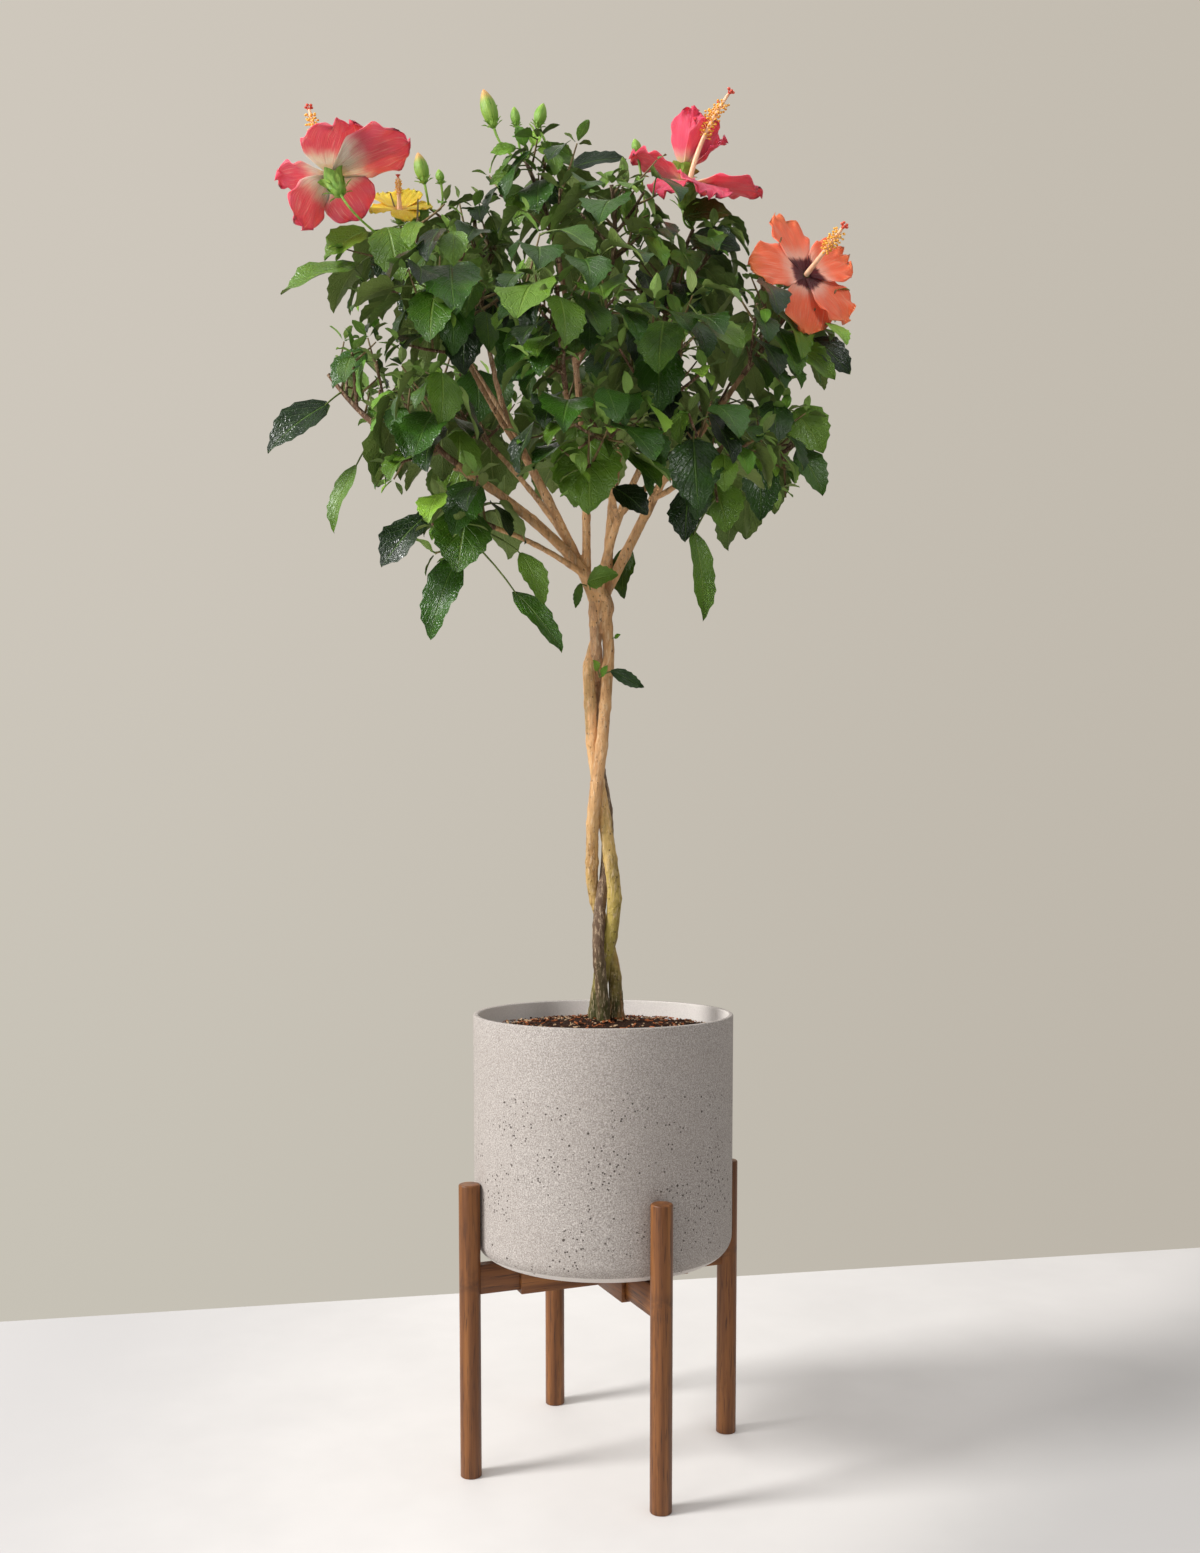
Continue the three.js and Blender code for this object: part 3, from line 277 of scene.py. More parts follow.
def turned(name, profile, sides, centre=(0, 0)):
    """A closed round piece through rows of radius and height in millimetres."""
    bpy.ops.object.select_all(action="DESELECT")
    (radius, height), *rest = profile
    bpy.ops.mesh.primitive_circle_add(
        vertices=sides,
        radius=radius * MM,
        fill_type="NGON",
        location=(centre[0] * MM, centre[1] * MM, height * MM),
    )
    piece = bpy.context.object
    piece.name = piece.data.name = name
    bpy.ops.object.mode_set(mode="EDIT")
    bpy.ops.mesh.select_all(action="SELECT")
    for next_radius, next_height in rest:
        rise = (0, 0, (next_height - height) * MM)
        bpy.ops.mesh.extrude_region_move(TRANSFORM_OT_translate={"value": rise})
        share = next_radius / radius
        middle = (centre[0] * MM, centre[1] * MM, next_height * MM)
        bpy.ops.transform.resize(value=(share, share, 1), center_override=middle)
        radius, height = next_radius, next_height
    bpy.ops.mesh.select_all(action="SELECT")
    bpy.ops.mesh.normals_make_consistent(inside=False)
    bpy.ops.object.mode_set(mode="OBJECT")
    settle(piece)
    return piece


def arc(centre_radius, centre_height, radius, start, end, steps):
    """Rows of radius and height round a quarter or half circle, in degrees from level."""
    rows = []
    for step in range(steps + 1):
        angle = math.radians(start + (end - start) * step / steps)
        rows.append((
            centre_radius + radius * math.cos(angle),
            centre_height + radius * math.sin(angle),
        ))
    return rows


def finish(piece, materials, slot_name, *nodes, smooth_angle=40):
    """Gives a piece its materials and body, and hides the solids that it stands for; the slot
    isn't used.
    """
    for material in materials:
        piece.data.materials.append(material)
    pick(piece)
    bpy.ops.object.shade_smooth_by_angle(angle=math.radians(smooth_angle))
    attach(piece, "root")
    if nodes:
        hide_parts(*nodes)
    piece.data.calc_loop_triangles()
    print(piece.name, len(piece.data.loop_triangles), "triangles")
    return piece


def apply_modifier(piece, kind, **settings):
    pick(piece)
    modifier = piece.modifiers.new(kind.lower(), kind)
    for name, value in settings.items():
        setattr(modifier, name, value)
    bpy.ops.object.modifier_apply(modifier=modifier.name)


# %% [markdown]
# The pot
#
# A plain cast cylinder: a flat underside, a generous round at its foot, a straight wall and a
# thin rim whose edges are only just broken. The wall's inside goes down past the soil.

# %% Pot
POT_RADIUS = 142.5
POT_BASE = 232.7
POT_RIM = 497.6
POT_WALL = 5.5
POT_FLOOR = 9
POT_EDGE = 22
RIM_ROUND = 1.6
ROUND_SIDES = 144


def make_pot():
    inner = POT_RADIUS - POT_WALL
    inner_edge = POT_EDGE - POT_WALL
    wall_rows = [(POT_RADIUS, POT_BASE + POT_EDGE + 40 * step) for step in range(1, 6)]
    profile = [
        *arc(POT_RADIUS - POT_EDGE, POT_BASE + POT_EDGE, POT_EDGE, -90, 0, 10),
        *wall_rows,
        *arc(POT_RADIUS - RIM_ROUND, POT_RIM - RIM_ROUND, RIM_ROUND, 0, 90, 4),
        *arc(inner + RIM_ROUND, POT_RIM - RIM_ROUND, RIM_ROUND, 90, 180, 4),
        *arc(inner - inner_edge, POT_BASE + POT_FLOOR + inner_edge, inner_edge, 0, -90, 5),
    ]
    return turned("cement_pot", profile, ROUND_SIDES)


# %% [markdown]
# The cement
#
# Close up, the pot is a neutral light grey with a strong salt-and-pepper grain and faint clouds.
# Its lower two thirds have loose clusters of small dark pits where air was trapped against the
# mould. The pits come from cell noise kept only where a broad noise is high, so that they
# gather in patches. The inside of the wall, above the soil, is made paler: painted light that
# stands in for the light the lamps don't bring into the pot.

# %% Cement
def cement_material():
    material, shader, place, _ = start_material("cement", 0.25)
    clouds = place.noise(9.0, 4.0, 0.6)
    grain = place.noise(720.0, 3.0, 0.8)
    low_part = 1 - place.part(2).between(0.40, 0.46)
    patches = place.noise(24.0, 3.0, 0.6).between(0.48, 0.58) * low_part
    pores = (1 - place.cells(205.0).between(0.14, 0.24)) * patches
    large_patches = place.noise(15.0, 2.0, 0.5).between(0.52, 0.60) * low_part
    craters = (1 - place.cells(96.0).between(0.10, 0.15)) * large_patches
    pits = (pores + craters).between(0.05, 0.7)
    speckled = grain.ramp(
        (0.36, (132, 125, 119)), (0.47, (164, 157, 151)),
        (0.54, (178, 171, 165)), (0.66, (210, 203, 197)),
    )
    shaded = (clouds.between(0.3, 0.7) * 0.25).blend(speckled, (160, 150, 142))
    # Painted light: the inner wall is blended towards a pale grey, standing in for light that the
    # lamps don't bring inside the pot.
    radius = (place.part(0) * place.part(0) + place.part(1) * place.part(1)).root()
    inner_wall = (POT_RADIUS - POT_WALL) * MM
    inside = 1 - radius.between(inner_wall, inner_wall + 1.5 * MM)
    shaded = (inside * 0.65).blend(shaded, (232, 226, 220))
    colour = (pits * 0.9).blend(shaded, (70, 62, 56))
    relief = (grain * 0.35 - pits * 1.0).bump(0.0008, 0.8)
    feed(shader, Base_Color=colour, Normal=relief, Roughness=clouds * 0.1 + 0.78)
    return material


finish(make_pot(), [cement_material()], "pot", "pot")


# %% [markdown]
# The soil
#
# Dark potting mix, heaped a little towards the trunk, with crumbs and shreds of bark and coir
# that catch the light. The mound is turned like the pot, roughened by a Displace modifier, and
# strewn with flat chips. The chips are one joined mesh, since the export drops particles.

# %% Soil material
def soil_material():
    material, shader, place, _ = start_material("potting_soil", 0.15)
    crumbs = place.noise(420.0, 4.0, 0.7)
    lumps = place.noise(120.0, 3.0, 0.6)
    fibre = place.cells(260.0).between(0.02, 0.30)
    colour = crumbs.ramp((0.30, (26, 16, 11)), (0.55, (62, 38, 26)), (0.75, (118, 76, 50)))
    colour = (lumps.between(0.35, 0.6) * 0.6).blend(colour, (44, 27, 19))
    relief = (crumbs + fibre * 0.4).bump(0.004)
    feed(shader, Base_Color=colour, Normal=relief, Roughness=crumbs * 0.2 + 0.75)
    return material


def chip_material(name, dark, light):
    return streaked_material(name, dark, light, 0.8, 500.0, (0.0006, 1.0), 0.2)


# %% Soil mound
SOIL_WALL = 479
SOIL_MOUND = 491
SOIL_PLATEAU = 30
SOIL_CURVE = 1.3
SOIL_GAP = 0.3
SOIL_EDGE = 16
SOIL_RINGS = 52
SOIL_LUMPS = 5.0
SOIL_BORDER = 2
LUMP_STRENGTH = 1.6
CRUMB_SIZE = 11


def soil_height(radius):
    """The mound's height at a distance from the pot's axis."""
    wall = POT_RADIUS - POT_WALL - SOIL_GAP
    share = min(max((wall - radius) / (wall - SOIL_PLATEAU), 0), 1)
    return SOIL_WALL + (SOIL_MOUND - SOIL_WALL) * share ** SOIL_CURVE


def make_soil():
    wall = POT_RADIUS - POT_WALL - SOIL_GAP
    bottom = POT_BASE + POT_FLOOR + SOIL_GAP
    profile = [(wall - SOIL_EDGE, bottom), (wall, bottom + SOIL_EDGE)]
    for ring in range(SOIL_RINGS):
        radius = wall * (1 - ring / SOIL_RINGS)
        profile.append((radius, soil_height(radius) - SOIL_LUMPS / 2))
    piece = turned("soil_mound", profile, ROUND_SIDES)
    top = piece.vertex_groups.new(name="top")
    for vertex in piece.data.vertices:
        radius = math.hypot(vertex.co.x, vertex.co.y)
        on_top = vertex.co.z > (SOIL_WALL - SOIL_LUMPS) * MM
        if on_top and radius < (wall - SOIL_BORDER) * MM:
            top.add([vertex.index], 1.0, "REPLACE")
    crumbs = bpy.data.textures.new("soil_crumbs", "CLOUDS")
    crumbs.noise_scale = CRUMB_SIZE * MM
    crumbs.noise_depth = 3
    apply_modifier(
        piece, "DISPLACE", texture=crumbs, direction="Z", vertex_group="top",
        strength=SOIL_LUMPS * LUMP_STRENGTH * MM, mid_level=0.5,
    )
    return piece


finish(make_soil(), [soil_material()], "soil", "soil", smooth_angle=180)


# %% [markdown]
# Repeatable chance
#
# Chips, twigs and leaves are strewn by chance, but the same way each time. The construction
# model grows its foliage from this very stream of numbers, so growing it again here puts every
# twig and leaf back in its place.

# %% A stream of numbers
WORD = 0xFFFFFFFF
SEED_STEP = 2654435
SEED_START = 12345
STRIDE = 0x6D2B79F5


def random_stream(seed):
    """A function that gives numbers from 0 to 1, the same ones for the same seed."""
    state = seed * SEED_STEP + SEED_START

    def draw():
        nonlocal state
        state = (state + STRIDE) & WORD
        t = state
        t = ((t ^ (t >> 15)) * (t | 1)) & WORD
        t ^= (t + (((t ^ (t >> 7)) * (t | 61)) & WORD)) & WORD
        return ((t ^ (t >> 14)) & WORD) / (WORD + 1)

    return draw


print("first draw of seed 1", round(random_stream(1)(), 4))


# %% [markdown]
# Joined meshes
#
# A few shapes repeated hundreds of times are gathered as rows of corners and faces and become
# one mesh at the end. Each corner also carries its place on its own little shape, as a UV map.

# %% A growing mesh
def ring_faces(rings, sides):
    """The faces of a closed tube whose corners come ring by ring."""
    faces = []
    for ring in range(rings - 1):
        for k in range(sides):
            a = ring * sides + k
            b = ring * sides + (k + 1) % sides
            faces.append((a, b, b + sides, a + sides))
    last = (rings - 1) * sides
    faces.append(tuple(range(sides - 1, -1, -1)))
    faces.append(tuple(range(last, last + sides)))
    return faces


class Gathered:
    """Corners, faces, map places and material numbers of many copies, in millimetres."""

    def __init__(self):
        self.corners = []
        self.faces = []
        self.places = []
        self.materials = []
        self.tones = []
        self.count = 0

    def take(self, corners, faces, places, materials, tone=0.5):
        self.corners.append(np.asarray(corners, float))
        self.places.append(np.asarray(places, float))
        self.tones.append(np.full(len(corners), tone))
        self.faces.extend([tuple(corner + self.count for corner in face) for face in faces])
        self.materials.extend(materials)
        self.count += len(corners)

    def tube(self, points, radii, sides, material=0):
        """A tapering round twig with closed ends."""
        frames = frame_line(points)
        corners = []
        places = []
        for row, (point, (side, other), radius) in enumerate(zip(points, frames, radii)):
            for k in range(sides):
                angle = 2 * math.pi * k / sides
                corners.append(point + (side * math.cos(angle) + other * math.sin(angle)) * radius)
                places.append((k / sides, row / (len(points) - 1)))
        faces = ring_faces(len(points), sides)
        self.take(corners, faces, places, [material] * len(faces))

    def mesh(self, name):
        corners = np.concatenate(self.corners) * MM
        data = bpy.data.meshes.new(name)
        data.from_pydata(corners.tolist(), [], self.faces)
        data.polygons.foreach_set("material_index", self.materials)
        loops = np.empty(len(data.loops), np.int32)
        data.loops.foreach_get("vertex_index", loops)
        own_map = data.uv_layers.new(name="own_place")
        own_map.data.foreach_set("uv", np.concatenate(self.places)[loops].ravel())
        tone = data.attributes.new("tone", "FLOAT", "POINT")
        tone.data.foreach_set("value", np.concatenate(self.tones))
        data.update()
        return add_object(name, data)


def frame_line(points):
    """Two directions square to a line at each of its points, carried along untwisted."""
    first = (points[1] - points[0]).normalized()
    side = Vector((1, 0, 0)) if abs(first.z) > 0.9 else Vector((0, 0, 1))
    frames = []
    for i in range(len(points)):
        before = points[max(i - 1, 0)]
        after = points[min(i + 1, len(points) - 1)]
        heading = (after - before).normalized()
        side = (side - heading * side.dot(heading)).normalized()
        frames.append((side, heading.cross(side)))
    return frames


# %% Chips on the soil
CHIP_COUNT = 1100
CHIP_SEED = 3
CHIP_MARGIN = 6
CHIP_LENGTH = (2, 7)
CHIP_WIDTH = (0.8, 1.8)
CHIP_THICKNESS = (0.5, 0.8)
CHIP_HEAP = 1.2
CHIP_TILT = 0.9
CHIP_OUTLINE = [(-1, -0.5), (-0.3, -1), (0.8, -0.7), (1, 0.4), (0.1, 1), (-0.9, 0.6)]
DARK_SHARE = 0.45
ORANGE_SHARE = 0.6


def make_chips():
    """Flat chips of three kinds; each pair of sizes is the least and what chance adds."""
    chance = random_stream(CHIP_SEED)
    chips = Gathered()
    for _ in range(CHIP_COUNT):
        radius = (POT_RADIUS - POT_WALL - CHIP_MARGIN) * math.sqrt(chance())
        around = 2 * math.pi * chance()
        length = CHIP_LENGTH[0] + CHIP_LENGTH[1] * chance() ** 2
        width = CHIP_WIDTH[0] + CHIP_WIDTH[1] * chance()
        thickness = CHIP_THICKNESS[0] + CHIP_THICKNESS[1] * chance()
        height = soil_height(radius) + CHIP_HEAP * chance()
        centre = Vector((radius * math.cos(around), radius * math.sin(around), height))
        turn = Matrix.Rotation(2 * math.pi * chance(), 3, "Z")
        for lean_axis in ("X", "Y"):
            turn = turn @ Matrix.Rotation(CHIP_TILT * (chance() - 0.5), 3, lean_axis)
        corners = []
        for level in (-1, 1):
            for along, across in CHIP_OUTLINE:
                local = Vector((along * length / 2, across * width / 2, level * thickness / 2))
                corners.append(centre + turn @ local)
        faces = ring_faces(2, len(CHIP_OUTLINE))
        kind = 0 if chance() < DARK_SHARE else 1 if chance() < ORANGE_SHARE else 2
        chips.take(corners, faces, [(0, 0)] * len(corners), [kind] * len(faces))
    return chips.mesh("soil_chips")


chip_kinds = [
    chip_material("dark_bark_chip", (38, 22, 14), (84, 52, 34)),
    chip_material("orange_bark_chip", (120, 62, 34), (186, 112, 68)),
    chip_material("pale_fibre_chip", (140, 108, 78), (205, 178, 144)),
]
finish(make_chips(), chip_kinds, "soil")


# %% [markdown]
# The wood
#
# The stand is bamboo stained like walnut: a deep brown with long fine pores, and every so often
# a faint soft band straight across it where the cane had a node. Grain runs along each bar, so
# the pattern is stretched along the bar's own direction.

# %% Walnut-stained wood
STAND_TURN = 22.3
NODES_PER_METRE = 9


def wood_material(name, turn_degrees, lengthwise):
    material, shader, place, _ = start_material(name, 0.3, Coat_Weight=0.2, Coat_Roughness=0.3)
    level = place.placed((1, 1, 1), (0, 0, -math.radians(turn_degrees)))
    stretch = [1.0, 1.0, 1.0]
    stretch[lengthwise] = 0.035
    grained = level.placed(tuple(stretch))
    bands = grained.noise(130.0, 3.0, 0.6)
    pores = grained.noise(900.0, 2.0, 0.6)
    drift = level.noise(14.0, 2.0, 0.5)
    joint = (level.part(lengthwise) * NODES_PER_METRE + drift * 0.12).zigzag()
    node_band = 1 - joint.between(0.0, 0.16)
    smudges = level.noise(60.0, 3.0, 0.6).between(0.42, 0.62)
    colour = bands.ramp((0.25, (82, 46, 22)), (0.5, (120, 74, 37)), (0.78, (152, 99, 51)))
    colour = (1 - pores.between(0.28, 0.46)).blend(colour, (66, 39, 24))
    colour = (node_band * smudges * 0.6).blend(colour, (70, 42, 26))
    relief = (pores * 0.5 + bands * 0.4 - node_band * 0.1).bump(0.0004, 0.6)
    feed(shader, Base_Color=colour, Normal=relief, Roughness=bands * 0.18 + 0.38)
    return material


upright_wood = wood_material("walnut_upright", 0, 2)
wide_wood = wood_material("walnut_wide_bar", STAND_TURN, 0)
deep_wood = wood_material("walnut_deep_bar", STAND_TURN, 1)


# %% [markdown]
# The stand
#
# Four turned legs reach up past the pot's foot and hold it in place. Two bars cross under the
# pot in a half-lap joint. Each bar is a sleeve with an open channel, and a narrower slider runs
# in the channel to every leg, so the stand fits pots of several sizes. The legs are turned
# again with a finely rounded top; the bars are copies of their solids with eased edges.

# %% Legs
LEG_RADIUS = 11.5
LEG_HEIGHT = 320.5
LEG_CIRCLE = 154.8
LEG_ROUND = 2.0
LEG_SIDES = 40
FOOT_EDGE = 1
FOOT_BREAK = 0.3
LEG_ANGLES = {"left": 180, "front": 270, "right": 0, "back": 90}


def make_leg(name):
    angle = math.radians(LEG_ANGLES[name] + STAND_TURN)
    centre = (LEG_CIRCLE * math.cos(angle), LEG_CIRCLE * math.sin(angle))
    straight = LEG_HEIGHT - FOOT_EDGE - LEG_ROUND
    shaft = [(LEG_RADIUS, FOOT_EDGE + straight * step / 8) for step in range(9)]
    profile = [
        (LEG_RADIUS - FOOT_EDGE, 0),
        (LEG_RADIUS - FOOT_BREAK, FOOT_BREAK),
        *shaft,
        *arc(LEG_RADIUS - LEG_ROUND, LEG_HEIGHT - LEG_ROUND, LEG_ROUND, 0, 90, 5)[1:],
    ]
    return turned(f"stand_leg_{name}", profile, LEG_SIDES, centre)


for leg_name in LEG_ANGLES:
    finish(make_leg(leg_name), [upright_wood], "stand_wood", f"leg_{leg_name}")


# %% Bars
BAR_EDGE = 0.5
SHARP_EDGE = 40


def ease_edges(node, name, amount):
    """A copy of a solid's mesh, merged, with its sharp edges rounded a little."""
    piece = add_object(name, frame["nodes"][node].data.copy())
    piece.data.materials.clear()
    pick(piece)
    bpy.ops.object.mode_set(mode="EDIT")
    bpy.ops.mesh.select_all(action="SELECT")
    bpy.ops.mesh.remove_doubles(threshold=0.02 * MM)
    bpy.ops.mesh.dissolve_limited(angle_limit=math.radians(1))
    bpy.ops.object.mode_set(mode="OBJECT")
    apply_modifier(
        piece, "BEVEL", width=amount * MM, segments=2, limit_method="ANGLE",
        angle_limit=math.radians(SHARP_EDGE),
    )
    return piece


BARS = [
    (wide_wood, ("slider_left", "slider_right", "sleeve_bar_wide")),
    (deep_wood, ("slider_front", "slider_back", "sleeve_bar_deep")),
]
for bar_wood, bar_names in BARS:
    for bar_name in bar_names:
        bar = ease_edges(bar_name, f"stand_{bar_name}", BAR_EDGE)
        finish(bar, [bar_wood], "stand_wood", bar_name)


# %% [markdown]
# The plait
#
# Each stem's path is a short list of heights with its sideways place and depth, read as a
# smooth curve. The three are then pressed apart, level by level, until they only touch, just as
# the real stems pushed each other aside while they thickened.

# %% Stem paths
FORK_HEIGHT = 946
STEM_STEP = 19
ROOT_FLARE = 1.16
FLARE_RISE = 45
STEM_LEAN = 4
PLAIT_ROUNDS = 60
EASING_ROUNDS = 40
EASING_SHARE = 0.16
CORNER_ROOM = 1.045
PUSH_SHARES = (0.6, 1.4)
LEAST_GAP = 0.5
HALVINGS = 40
STEM_PATHS = {
    "brown": [
        (491, 2, -3), (534, -1, -8), (567, -4, -5), (605, -5, -8), (640, -2, 2), (698, 13, 9),
        (747, 3, 12), (774, -13, 12), (817, -21, 10), (849, -12, 9), (892, -1, -5), (925, -8, 2),
        (946, -12, 8),
    ],
    "olive": [
        (491, -13, 3), (534, -3, 8), (567, 8, -5), (605, 11, -1), (640, 10, -7), (698, 4, -3),
        (747, -6, 2), (774, -10, 0), (817, -14, -4), (849, -14, -5), (892, -12, 2), (925, 2, 8),
        (946, 8, 4),
    ],
    "tan": [
        (491, 16, 2), (534, 13, 3), (567, 8, 9), (605, -6, 8), (640, -13, 1), (698, -12, -4),
        (747, -8, -9), (774, -4, -8), (817, 1, -4), (849, 1, -2), (892, 8, -1), (925, 0, -8),
        (946, -8, -8),
    ],
}
STEM_RADII = {"brown": (6.8, 6.0), "olive": (8.3, 6.2), "tan": (7.4, 6.2)}


def smooth_place(rows, share):
    """The place along rows of numbers, eased through every row."""
    last = len(rows) - 1
    position = min(max(share, 0), 1) * last
    i = min(int(position), last - 1)
    k = position - i
    before, here, there, after = (
        rows[max(i - 1, 0)], rows[i], rows[i + 1], rows[min(i + 2, last)]
    )
    place = []
    for axis in range(len(here)):
        slope = (there[axis] - before[axis]) / 2
        next_slope = (after[axis] - here[axis]) / 2
        rise = there[axis] - here[axis]
        bend = 3 * rise - 2 * slope - next_slope
        twist = slope + next_slope - 2 * rise
        place.append(here[axis] + slope * k + bend * k * k + twist * k ** 3)
    return place


def stem_at(rows, height):
    """The row at a height, found by halving the stretch that it lies in."""
    low, high = 0.0, 1.0
    for _ in range(HALVINGS):
        middle = (low + high) / 2
        if smooth_place(rows, middle)[0] < height:
            low = middle
        else:
            high = middle
    return smooth_place(rows, low)


def press_apart(stems, levels):
    """Moves stems that overlap away from each other at every level."""
    names = list(stems)
    for level in range(levels + 1):
        for i, name in enumerate(names):
            for other in names[i + 1:]:
                points, radii = stems[name]
                other_points, other_radii = stems[other]
                apart = other_points[level] - points[level]
                gap = math.hypot(apart.x, apart.y)
                wanted = (radii[level] + other_radii[level]) * CORNER_ROOM + SOIL_GAP
                if gap < wanted:
                    push = (wanted - gap) / 2 / max(gap, LEAST_GAP)
                    across, deep = PUSH_SHARES
                    shift = Vector((apart.x * push * across, apart.y * push * deep, 0))
                    points[level] = points[level] - shift
                    other_points[level] = other_points[level] + shift


def plait_stems():
    ground = SOIL_MOUND + SOIL_GAP
    levels = round((FORK_HEIGHT - ground) / STEM_STEP)
    stems = {}
    for name, rows in STEM_PATHS.items():
        foot, top = STEM_RADII[name]
        points, radii = [], []
        for level in range(levels + 1):
            share = level / levels
            height = ground + (FORK_HEIGHT - ground) * share
            flare = 1 + (ROOT_FLARE - 1) * max(0, 1 - (height - ground) / FLARE_RISE)
            _, x, y = stem_at(rows, height)
            points.append(Vector((x, y + STEM_LEAN, height)))
            radii.append((foot + (top - foot) * share) * flare)
        stems[name] = (points, radii)
    for turn in range(PLAIT_ROUNDS):
        press_apart(stems, levels)
        if turn < EASING_ROUNDS:
            for points, _ in stems.values():
                eased = []
                for level, point in enumerate(points):
                    around = points[max(level - 1, 0)] + points[min(level + 1, levels)]
                    easy = point.lerp(around * 0.5, EASING_SHARE)
                    eased.append(Vector((easy.x, easy.y, point.z)))
                points[:] = eased
    return stems


limbs = plait_stems()
print("plaited", {name: len(points) for name, (points, _) in limbs.items()})


# %% [markdown]
# The boughs
#
# Above the fork the stems split into boughs. Each one leaves a limb at some share of its length
# and bends gently to its tip, where a foliage mass begins. The list gives parent, share, tip,
# how the middle is bowed, and the radius at both ends.

# %% Bough curves
Bough = namedtuple("Bough", "parent at tip bow radii")
BOUGH_STEPS = 4
BOUGHS = {
    "far_left": Bough("tan", 1, (-214, -10, 1109), (25, 0, 30), (6.2, 3.6)),
    "right": Bough("olive", 1, (60, -4, 1064), (-2, -4, -4), (6.2, 5.0)),
    "upper_left": Bough("brown", 1, (-170, 6, 1235), (14, 8, 12), (6.0, 3.4)),
    "left_front": Bough("far_left", 0.24, (-150, -72, 1070), (-6, -6, 10), (4.3, 3.0)),
    "left_low": Bough("far_left", 0.1, (-112, -62, 1008), (4, -4, 8), (3.6, 2.6)),
    "spire": Bough("upper_left", 0.06, (-47, 0, 1298), (18, 2, 10), (5.0, 2.8)),
    "top_left": Bough("upper_left", 0.6, (-130, 44, 1252), (-4, 8, -4), (3.6, 2.6)),
    "mid_left": Bough("upper_left", 0.5, (-138, -66, 1172), (-2, -8, -6), (3.4, 2.5)),
    "right_front": Bough("far_left", 0.04, (52, -52, 1095), (-12, -6, 8), (5.2, 3.2)),
    "back_top": Bough("right", 0.1, (24, 84, 1150), (-8, -14, 14), (5.6, 3.4)),
    "right_flower": Bough("right", 1, (148, -14, 1178), (-4, 0, -8), (4.2, 2.8)),
    "far_right": Bough("right_flower", 0.1, (150, 8, 1084), (2, 6, -8), (3.8, 2.8)),
    "top_right": Bough("right_flower", 0.06, (66, 30, 1240), (-6, 14, -9), (3.8, 2.8)),
    "right_low": Bough("right", 0.9, (96, -76, 1064), (0, -6, -6), (3.4, 2.6)),
    "back_left": Bough("upper_left", 0.2, (-120, 112, 1130), (8, 6, 0), (4.0, 2.8)),
    "back_centre": Bough("back_top", 0.5, (-28, 142, 1158), (-6, 6, 4), (3.6, 2.6)),
    "back_right": Bough("back_top", 0.36, (98, 124, 1146), (4, 4, 4), (3.8, 2.7)),
    "centre_front": Bough("spire", 0.3, (-38, -100, 1136), (-4, -8, -6), (3.4, 2.6)),
    "centre_low": Bough("right_front", 0.45, (4, -104, 1062), (0, -6, -8), (3.2, 2.5)),
    "top_centre": Bough("spire", 0.66, (6, -36, 1272), (2, -6, -8), (3.0, 2.4)),
}


def bowed(start, control, end, t):
    """A place on the curve from start to end that heads for control first."""
    return start.lerp(control, t).lerp(control.lerp(end, t), t)


def bowed_line(start, control, end, steps):
    return [bowed(start, control, end, step / steps) for step in range(steps + 1)]


def even_steps(first, last, steps):
    return [first + (last - first) * (step / steps) for step in range(steps + 1)]


def line_place(points, share):
    position = share * (len(points) - 1)
    i = min(int(position), len(points) - 2)
    return points[i].lerp(points[i + 1], position - i)


for bough_name, bough in BOUGHS.items():
    parent_points, _ = limbs[bough.parent]
    bough_start = line_place(parent_points, bough.at)
    if bough.at == 1:
        leaving = Vector((0, 0, 1))
        if bough.parent not in STEM_PATHS:
            leaving = (parent_points[-1] - parent_points[-2]).normalized()
        bough_start = parent_points[-1] + leaving * SOIL_GAP
    bough_tip = Vector(bough.tip)
    bough_control = bough_start.lerp(bough_tip, 0.5) + Vector(bough.bow)
    limbs[bough_name] = (
        bowed_line(bough_start, bough_control, bough_tip, BOUGH_STEPS),
        even_steps(*bough.radii, BOUGH_STEPS),
    )
print("limbs", len(limbs))


# %% [markdown]
# Bark
#
# Hibiscus bark is thin: a smooth skin with fine lengthwise wrinkles, pale warts and a swelling
# at each old leaf scar. The limbs are drawn as curves of varying thickness, turned into meshes,
# fused by a voxel Remesh so the forks flow together, and given their wrinkles by Displace. Low
# down two stems are olive and the third is brown, higher up all three are tan, and their feet
# are dark and greenish from the damp mix. The tan towards the trunk's top and the boughs' foot is
# partly painted light: it is made paler to make up for the crown's shadow there.

# %% Bark material
DAMP_FOOT = SOIL_MOUND + 4
DAMP_END = SOIL_MOUND + 95


